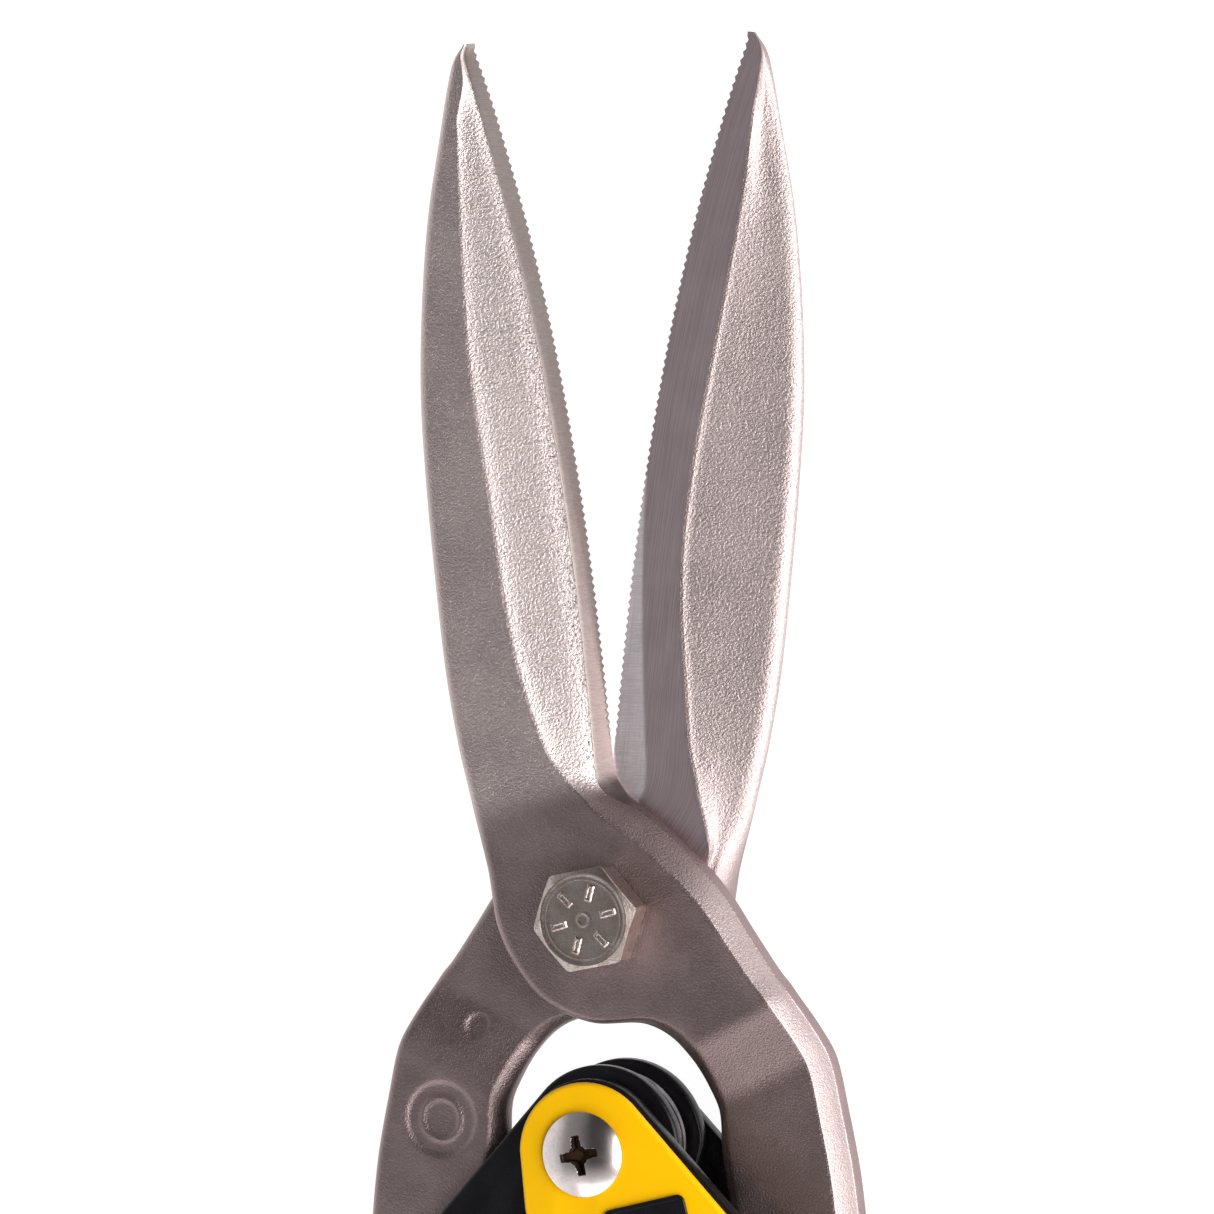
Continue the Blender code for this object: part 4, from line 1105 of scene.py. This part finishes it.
def wireTube(name, path, radius, around):
    # a circle carried along the path, kept upright by the Z axis, with rounded ends
    ahead = np.gradient(path, axis=0)
    ahead /= np.linalg.norm(ahead, axis=1, keepdims=True)
    out = np.cross(ahead, (0, 0, 1.0))
    out /= np.linalg.norm(out, axis=1, keepdims=True)
    over = np.cross(out, ahead)
    a = np.linspace(0, 2 * pi, around, endpoint=False)
    size = np.full(len(path), radius)
    ends = []
    for at, sign in ((0, -1), (-1, 1)):
        for f in (0.35, 0.7, 0.95):
            push = path[at] + ahead[at] * sign * radius * 0.5 * f
            ends.append((push, radius * (1 - f * f) ** 0.5, at))
    path = np.vstack([[e[0] for e in ends[2::-1]], path, [e[0] for e in ends[3:]]])
    size = np.concatenate([[e[1] for e in ends[2::-1]], size, [e[1] for e in ends[3:]]])
    out = np.vstack([np.repeat(out[:1], 3, 0), out, np.repeat(out[-1:], 3, 0)])
    over = np.vstack([np.repeat(over[:1], 3, 0), over, np.repeat(over[-1:], 3, 0)])
    ring = out[:, None] * np.cos(a)[None, :, None] + over[:, None] * np.sin(a)[None, :, None]
    return tubeMesh(name, path[:, None] + ring * size[:, None, None])


spring = wireTube("handle_coil_spring", springPath(), springShape["wire"], springShape["around"])
spring = finished(spring, angle=60)
spring.data.materials.append(looks["gunmetal"])
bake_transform(spring)
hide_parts("handle_spring")
print("handle pivot and spring made")


# Arm pins and spacers

for side, at in (("left", leftPin), ("right", rightPin)):
    low, high = nodeSpan("arm_pin_" + side, 2)
    line = [(0.0, high), (3.9, high), (4.4, high - 0.5), (4.4, high - 1.2), (3.0, high - 1.2),
            (3.0, low + 1.2), (4.4, low + 1.2), (4.4, low + 0.5), (3.9, low), (0.0, low)]
    pin = lathe("arm_peened_pin_" + side, at, line, [0, 0.5, 0.3, 0.12, 0.1, 0.1, 0.12, 0.3, 0.5, 0])
    settle(finished(pin), side + "_handle", looks["gunmetal"], "gunmetal", "arm_pin_" + side)
for end in ("front", "rear"):
    spacerNode = "arm_spacer_" + end
    ring = plainRing("arm_turned_spacer_" + end, spacerNode, rightPin, 3.3, 6.0, [0.1, 0.3, 0.3, 0.1])
    settle(ring, "right_handle", looks["nickel_plate"], "nickel_plate", spacerNode)


# Thumb latch

latchShape = {
    "arm": 15.0,
    "parked": 29.6,         # degrees
    "mouth": 2.0,
    "hole": 2.1,
    "sheet": 1.5,
    "button": (8.4, -1.4, 2.4),     # along, aside, radius
    "edge": 0.3,
}


def onLatch(a, b):
    # a mm along the parked latch from its pivot, b mm to its leading side
    lean = radians(latchShape["parked"])
    ahead = np.array((sin(lean), -cos(lean)))
    lead = np.array((ahead[1], -ahead[0]))
    return latchPivot + np.multiply.outer(a, ahead) + np.multiply.outer(b, lead)


def latchPlate():
    # a hooked plate: round end on the pivot, straight back, mouth that drops over the stud, thumb button
    k = latchShape
    arm, mouth = k["arm"], k["mouth"]
    back = np.radians(np.linspace(60, 300, 28))
    hook = np.radians(np.linspace(0, -180, 20))
    outline = np.concatenate([
        onLatch(4 * np.cos(back), 4 * np.sin(back)),
        onLatch(np.array([12.0, 17.5, 18.6, 19.3, 19.6]), np.array([-5.0, -5.0, -4.8, -4.3, -3.6])),
        onLatch(np.array([19.6, 19.4, 19.0, arm + mouth]), np.array([2.0, 2.8, 3.2, 3.2])),
        onLatch(arm + mouth * np.cos(hook), mouth * np.sin(hook)),
        onLatch(np.array([arm - mouth, 10.5]), np.array([3.2, 3.4])),
    ])
    low, top = nodeSpan("latch_plate", 2)
    plate = slab("latch_hook_plate", outline, (low, low + k["sheet"]))
    a, b, r = k["button"]
    line = [(0.0, top), (r, top), (r, low + 0.6), (0.0, low + 0.6)]
    button = lathe("button", onLatch(a, b), line, [0, 0.5, 0.1, 0], turnSteps=48)
    joined = plate.modifiers.new("button", "BOOLEAN")
    joined.object = button
    joined.operation = "UNION"
    joined.solver = "EXACT"
    made = finished(plate, [rod(latchPivot, k["hole"])], edge=k["edge"], segments=3, angle=40)
    bpy.data.objects.remove(button)
    return made


settle(latchPlate(), "latch", looks["nickel_plate"], "nickel_plate", "latch_plate")
latchPins = {
    # frame node: (place, body, head radius, shank radius)
    "latch_rivet": (latchPivot, "right_handle", 3.4, 1.8),
    "latch_stud": (studAt, "left_handle", 2.7, 1.6),
}
for pinNode, (at, body, head, shank) in latchPins.items():
    low, high = nodeSpan(pinNode, 2)
    line = [(0.0, high), (head, high), (head, high - 1.0), (shank, high - 1.0), (shank, 6.9), (3.0, 6.9)]
    radii = [0, 0.8, 0.15, 0.1, 0.1, 0.3]
    if pinNode == "latch_rivet":
        line += [(3.0, low), (0.0, low)]
        radii += [0.3, 0]
    else:
        line += [(3.0, 5.7), (shank, 5.7), (shank, 3.1), (2.6, 3.1), (2.6, low), (0.0, low)]
        radii += [0.1, 0.1, 0.1, 0.1, 0.3, 0]
    made = lathe(pinNode + "_turned", at, line, radii)
    settle(finished(made), body, looks["gunmetal"], "gunmetal", pinNode)
print("pins and latch made")


# Grips: soft sleeves pushed on over the channels, with a guard at the upper end

gripShape = {
    "start": 0.285,
    "half": 12.2,
    "over": 5.0,
    "collar": 1.6,
    "inlayHalf": 4.2,
    "inlaySpan": (0.40, 0.90),
    "gap": 0.3,
    "grooves": 15,
    "grooveDepth": 0.45,
    "grooveSpan": (0.40, 0.93),
    "squareness": 0.7,      # power of the sine and cosine; 1 is round
    "ribs": 18,
    "ribHalf": 0.0035,      # part of the handle's reach
    "ribHeight": 0.35,
    "rows": 300,
    "around": 120,
}


def grip(name, side):
    # Rounded-box sections down the bowed centre line: a guard flares at the top, the end is domed, and
    # shallow grooves cross both edges. The channel's room and the inlay's seat are taken out of it.
    k = gripShape
    flip = 1 if side == "right" else -1
    low, high = nodeSpan("grip_" + side, 2)
    last = 1 + k["over"] / handleShape["reach"]
    u = np.linspace(0, 1, k["rows"])
    t = k["start"] + (last - k["start"]) * (u - 0.02 * np.sin(2 * pi * u))
    fromTop = (t - k["start"]) * handleShape["reach"]
    fromEnd = (last - t) * handleShape["reach"]
    collar = k["collar"] * box(fromTop, -1, 8.0, 6.0)
    half = k["half"] + collar
    topRound = np.clip(fromTop / 1.6, 0, 1)
    endRound = np.clip(fromEnd / 7.0, 0, 1)
    squash = 0.90 + 0.10 * np.sqrt(1 - (1 - topRound) ** 2)
    squash = squash * (0.55 + 0.45 * np.sqrt(1 - (1 - endRound) ** 2))
    a = np.linspace(0, 2 * pi, k["around"], endpoint=False)[None, :]
    c, s = np.cos(a), np.sin(a)
    wide = half[:, None] * squash[:, None] * np.abs(c) ** k["squareness"] * np.sign(c)
    deep = (high - low) / 2
    tall = deep * squash[:, None] * np.abs(s) ** k["squareness"] * np.sign(s)
    first, end = k["grooveSpan"]
    span = box(t, first, end, 0.03)[:, None]
    wave = 0.5 - 0.5 * np.cos(2 * pi * k["grooves"] * (t - first) / (end - first))
    cut = np.clip(2.4 * wave[:, None] - 1.4, 0, 1) * box(np.abs(c), 0.55, 2, 0.3)
    groove = k["grooveDepth"] * span * cut
    wide = wide * (1 - groove / k["half"])
    tall = tall * (1 - groove / deep)
    flat = gripPoint(t[:, None] + 0 * wide, wide)
    body = tubeMesh(name, np.stack([flip * flat[..., 0], flat[..., 1], (low + high) / 2 + tall], axis=-1))
    room = handleShape["half"] + k["gap"]
    down = np.linspace(0.2, 1.003, 20)
    hole = np.concatenate([gripPoint(down, room), gripPoint(down[::-1], -room)])
    cheekLow, cheekHigh = nodeSpan("handle_frame_" + side, 2)
    inlayLow = nodeSpan("grip_inlay_" + side, 2)[0]
    seat = inlayOutline(k["inlayHalf"] + k["gap"]) * (flip, 1)
    cutters = [
        slab("room", hole * (flip, 1), (cheekLow - k["gap"], cheekHigh + k["gap"])),
        slab("seat", seat, (inlayLow - k["gap"], 20.0)),
    ]
    return finished(body, cutters, angle=45)


def inlayOutline(half):
    # a long bar on the centre line with round ends
    first, last = gripShape["inlaySpan"]
    reach = handleShape["reach"]
    a = np.linspace(0, pi, 16)
    tail = (half + gripShape["inlayHalf"]) / 2
    return np.concatenate([
        gripPoint(np.linspace(first, last, 24), half),
        gripPoint(last + 0.8 * tail / reach * np.sin(a[1:-1]), half * np.cos(a[1:-1])),
        gripPoint(np.linspace(last, first, 24), -half),
        gripPoint(first - 0.8 * tail / reach * np.sin(a[1:-1]), -half * np.cos(a[1:-1])),
    ])


def inlay(name, side):
    # the bar with narrow grooves across it, which leave ribs, and softened edges
    k = gripShape
    flip = 1 if side == "right" else -1
    low, high = nodeSpan("grip_inlay_" + side, 2)
    body = slab(name, inlayOutline(k["inlayHalf"]) * (flip, 1), (low, high))
    first, last = k["inlaySpan"]
    across = np.array([-1, 1]) * (k["inlayHalf"] + 1)
    grooves = []
    for f in np.linspace(first + 0.03, last - 0.03, k["ribs"]):
        upper, lower = f - k["ribHalf"], f + k["ribHalf"]
        line = np.concatenate([gripPoint([upper, upper], across), gripPoint([lower, lower], -across)])
        grooves.append(slab("rib", line * (flip, 1), (high - k["ribHeight"], 20.0)))
    return finished(body, grooves, edge=0.16, segments=2, angle=40)


for side in ("left", "right"):
    body = side + "_handle"
    settle(grip("grip_sleeve_" + side, side), body, looks["black_rubber"], "black_rubber", "grip_" + side)
    bar = inlay("grip_bar_" + side, side)
    settle(bar, body, looks["yellow_plastic"], "yellow_plastic", "grip_inlay_" + side)
print("grips made")


# Table, lights and camera

def plainLook(name, colour, glow):
    # a matt, softly clouded colour that also gives off a little light of its own
    made, tree, shader = newLook(name)
    cloud = noise(tree, inMm(tree), 0.004, 2, 0.5)
    tint = tuple(c * 0.985 for c in colour)
    tree.links.new(blendColour(tree, cloud, tint, colour), shader.inputs["Base Color"])
    shader.inputs["Roughness"].default_value = 0.7
    shader.inputs["Emission Color"].default_value = (1.0, 1.0, 1.0, 1.0)
    shader.inputs["Emission Strength"].default_value = glow
    return made


studio = {
    "tableSize": 12.0,
    "tableGlow": 0.92,
    "tableColour": (0.30, 0.30, 0.302),
    "skyColour": (0.93, 0.94, 0.96, 1.0),
    "lens": 146.6,
    "distance": 0.65,
    "leanRight": 22.0,      # degrees from straight above
    "leanUp": 0.9,
    "roll": 0.37,
    "aim": (-0.74, 40.3, 0.0),
}

lights = {
    # name: (direction from the tool, distance, size, power, colour)
    "keyRight": ((1.0, -0.05, 0.62), 1.1, (0.9, 1.1), 14.0, (1.0, 0.985, 0.98)),
    "fillNear": ((0.1, -1.0, 0.55), 1.3, (1.4, 0.7), 3.5, (1.0, 0.98, 0.98)),
}

# Strength of the surroundings: for each direction component, (from, to, value at from, value at to)
surroundings = {
    "right": ("X", 0.30, 0.72, 0.0, 1.15),
    "rightFade": ("Y", 0.30, 0.80, 1.0, 0.12),
    "near": ("Y", -0.25, -0.75, 0.0, 0.75),
    "left": ("X", -0.05, -0.45, 0.05, 0.27),
    "farLeft": ("X", -0.60, -0.92, 0.0, 0.7),
    "rim": ("Z", 0.02, 0.10, 0.55, 0.0),
}


def makeTable():
    # one large square at Z = 0
    half = studio["tableSize"] / 2
    corners = [(-half, -half, 0), (half, -half, 0), (half, half, 0), (-half, half, 0)]
    data = bpy.data.meshes.new("table")
    data.from_pydata(corners, [], [(0, 1, 2, 3)])
    table = bpy.data.objects.new("table", data)
    data.materials.append(plainLook("table_look", studio["tableColour"], studio["tableGlow"]))
    bpy.context.scene.collection.objects.link(table)


def makeLights():
    # one soft panel for each entry, facing the tool, and a sky whose strength follows its direction
    for name, (direction, distance, size, power, colour) in lights.items():
        data = bpy.data.lights.new(name, "AREA")
        data.shape = "RECTANGLE"
        data.size, data.size_y = size
        data.energy = power
        data.color = colour
        lamp = bpy.data.objects.new(name, data)
        way = Vector(direction).normalized()
        lamp.location = Vector(zero) + way * distance
        lamp.rotation_euler = way.to_track_quat("Z", "Y").to_euler()
        bpy.context.scene.collection.objects.link(lamp)
    world = bpy.data.worlds.new("studio")
    world.use_nodes = True
    tree = world.node_tree
    sky = node(tree, "ShaderNodeTexCoord").outputs["Generated"]
    parts = node(tree, "ShaderNodeSeparateXYZ", [("Vector", sky)]).outputs
    glow = {key: ramp(tree, parts[axis], *numbers) for key, (axis, *numbers) in surroundings.items()}
    total = maths(tree, "MULTIPLY", glow["right"], glow["rightFade"])
    for key in ("near", "left", "farLeft", "rim"):
        total = maths(tree, "ADD", total, glow[key])
    background = tree.nodes["Background"]
    tree.links.new(total, background.inputs["Strength"])
    background.inputs["Color"].default_value = studio["skyColour"]
    bpy.context.scene.world = world


def makeCamera():
    # looks down at the tool, leaning to the right of straight above
    lean, tilt, roll = (radians(studio[key]) for key in ("leanRight", "leanUp", "roll"))
    away = Vector((sin(lean) * cos(tilt), sin(tilt), cos(lean) * cos(tilt)))
    side = (-away).cross(Vector((0, 1, 0))).normalized()
    over = side.cross(-away)
    right = side * cos(roll) - over * sin(roll)
    up = side * sin(roll) + over * cos(roll)
    aim = Vector(zero) + Vector(studio["aim"]) * mm
    data = bpy.data.cameras.new("camera")
    data.lens = studio["lens"]
    data.sensor_width = 36.0
    data.clip_start = 0.05
    camera = bpy.data.objects.new("camera", data)
    turnTo = Matrix((right, up, away)).transposed().to_4x4()
    camera.matrix_world = Matrix.Translation(aim + away * studio["distance"]) @ turnTo
    bpy.context.scene.collection.objects.link(camera)
    bpy.context.scene.camera = camera


makeTable()
makeLights()
makeCamera()
bpy.context.scene.view_settings.view_transform = "Standard"
print("table, lights and camera ready")
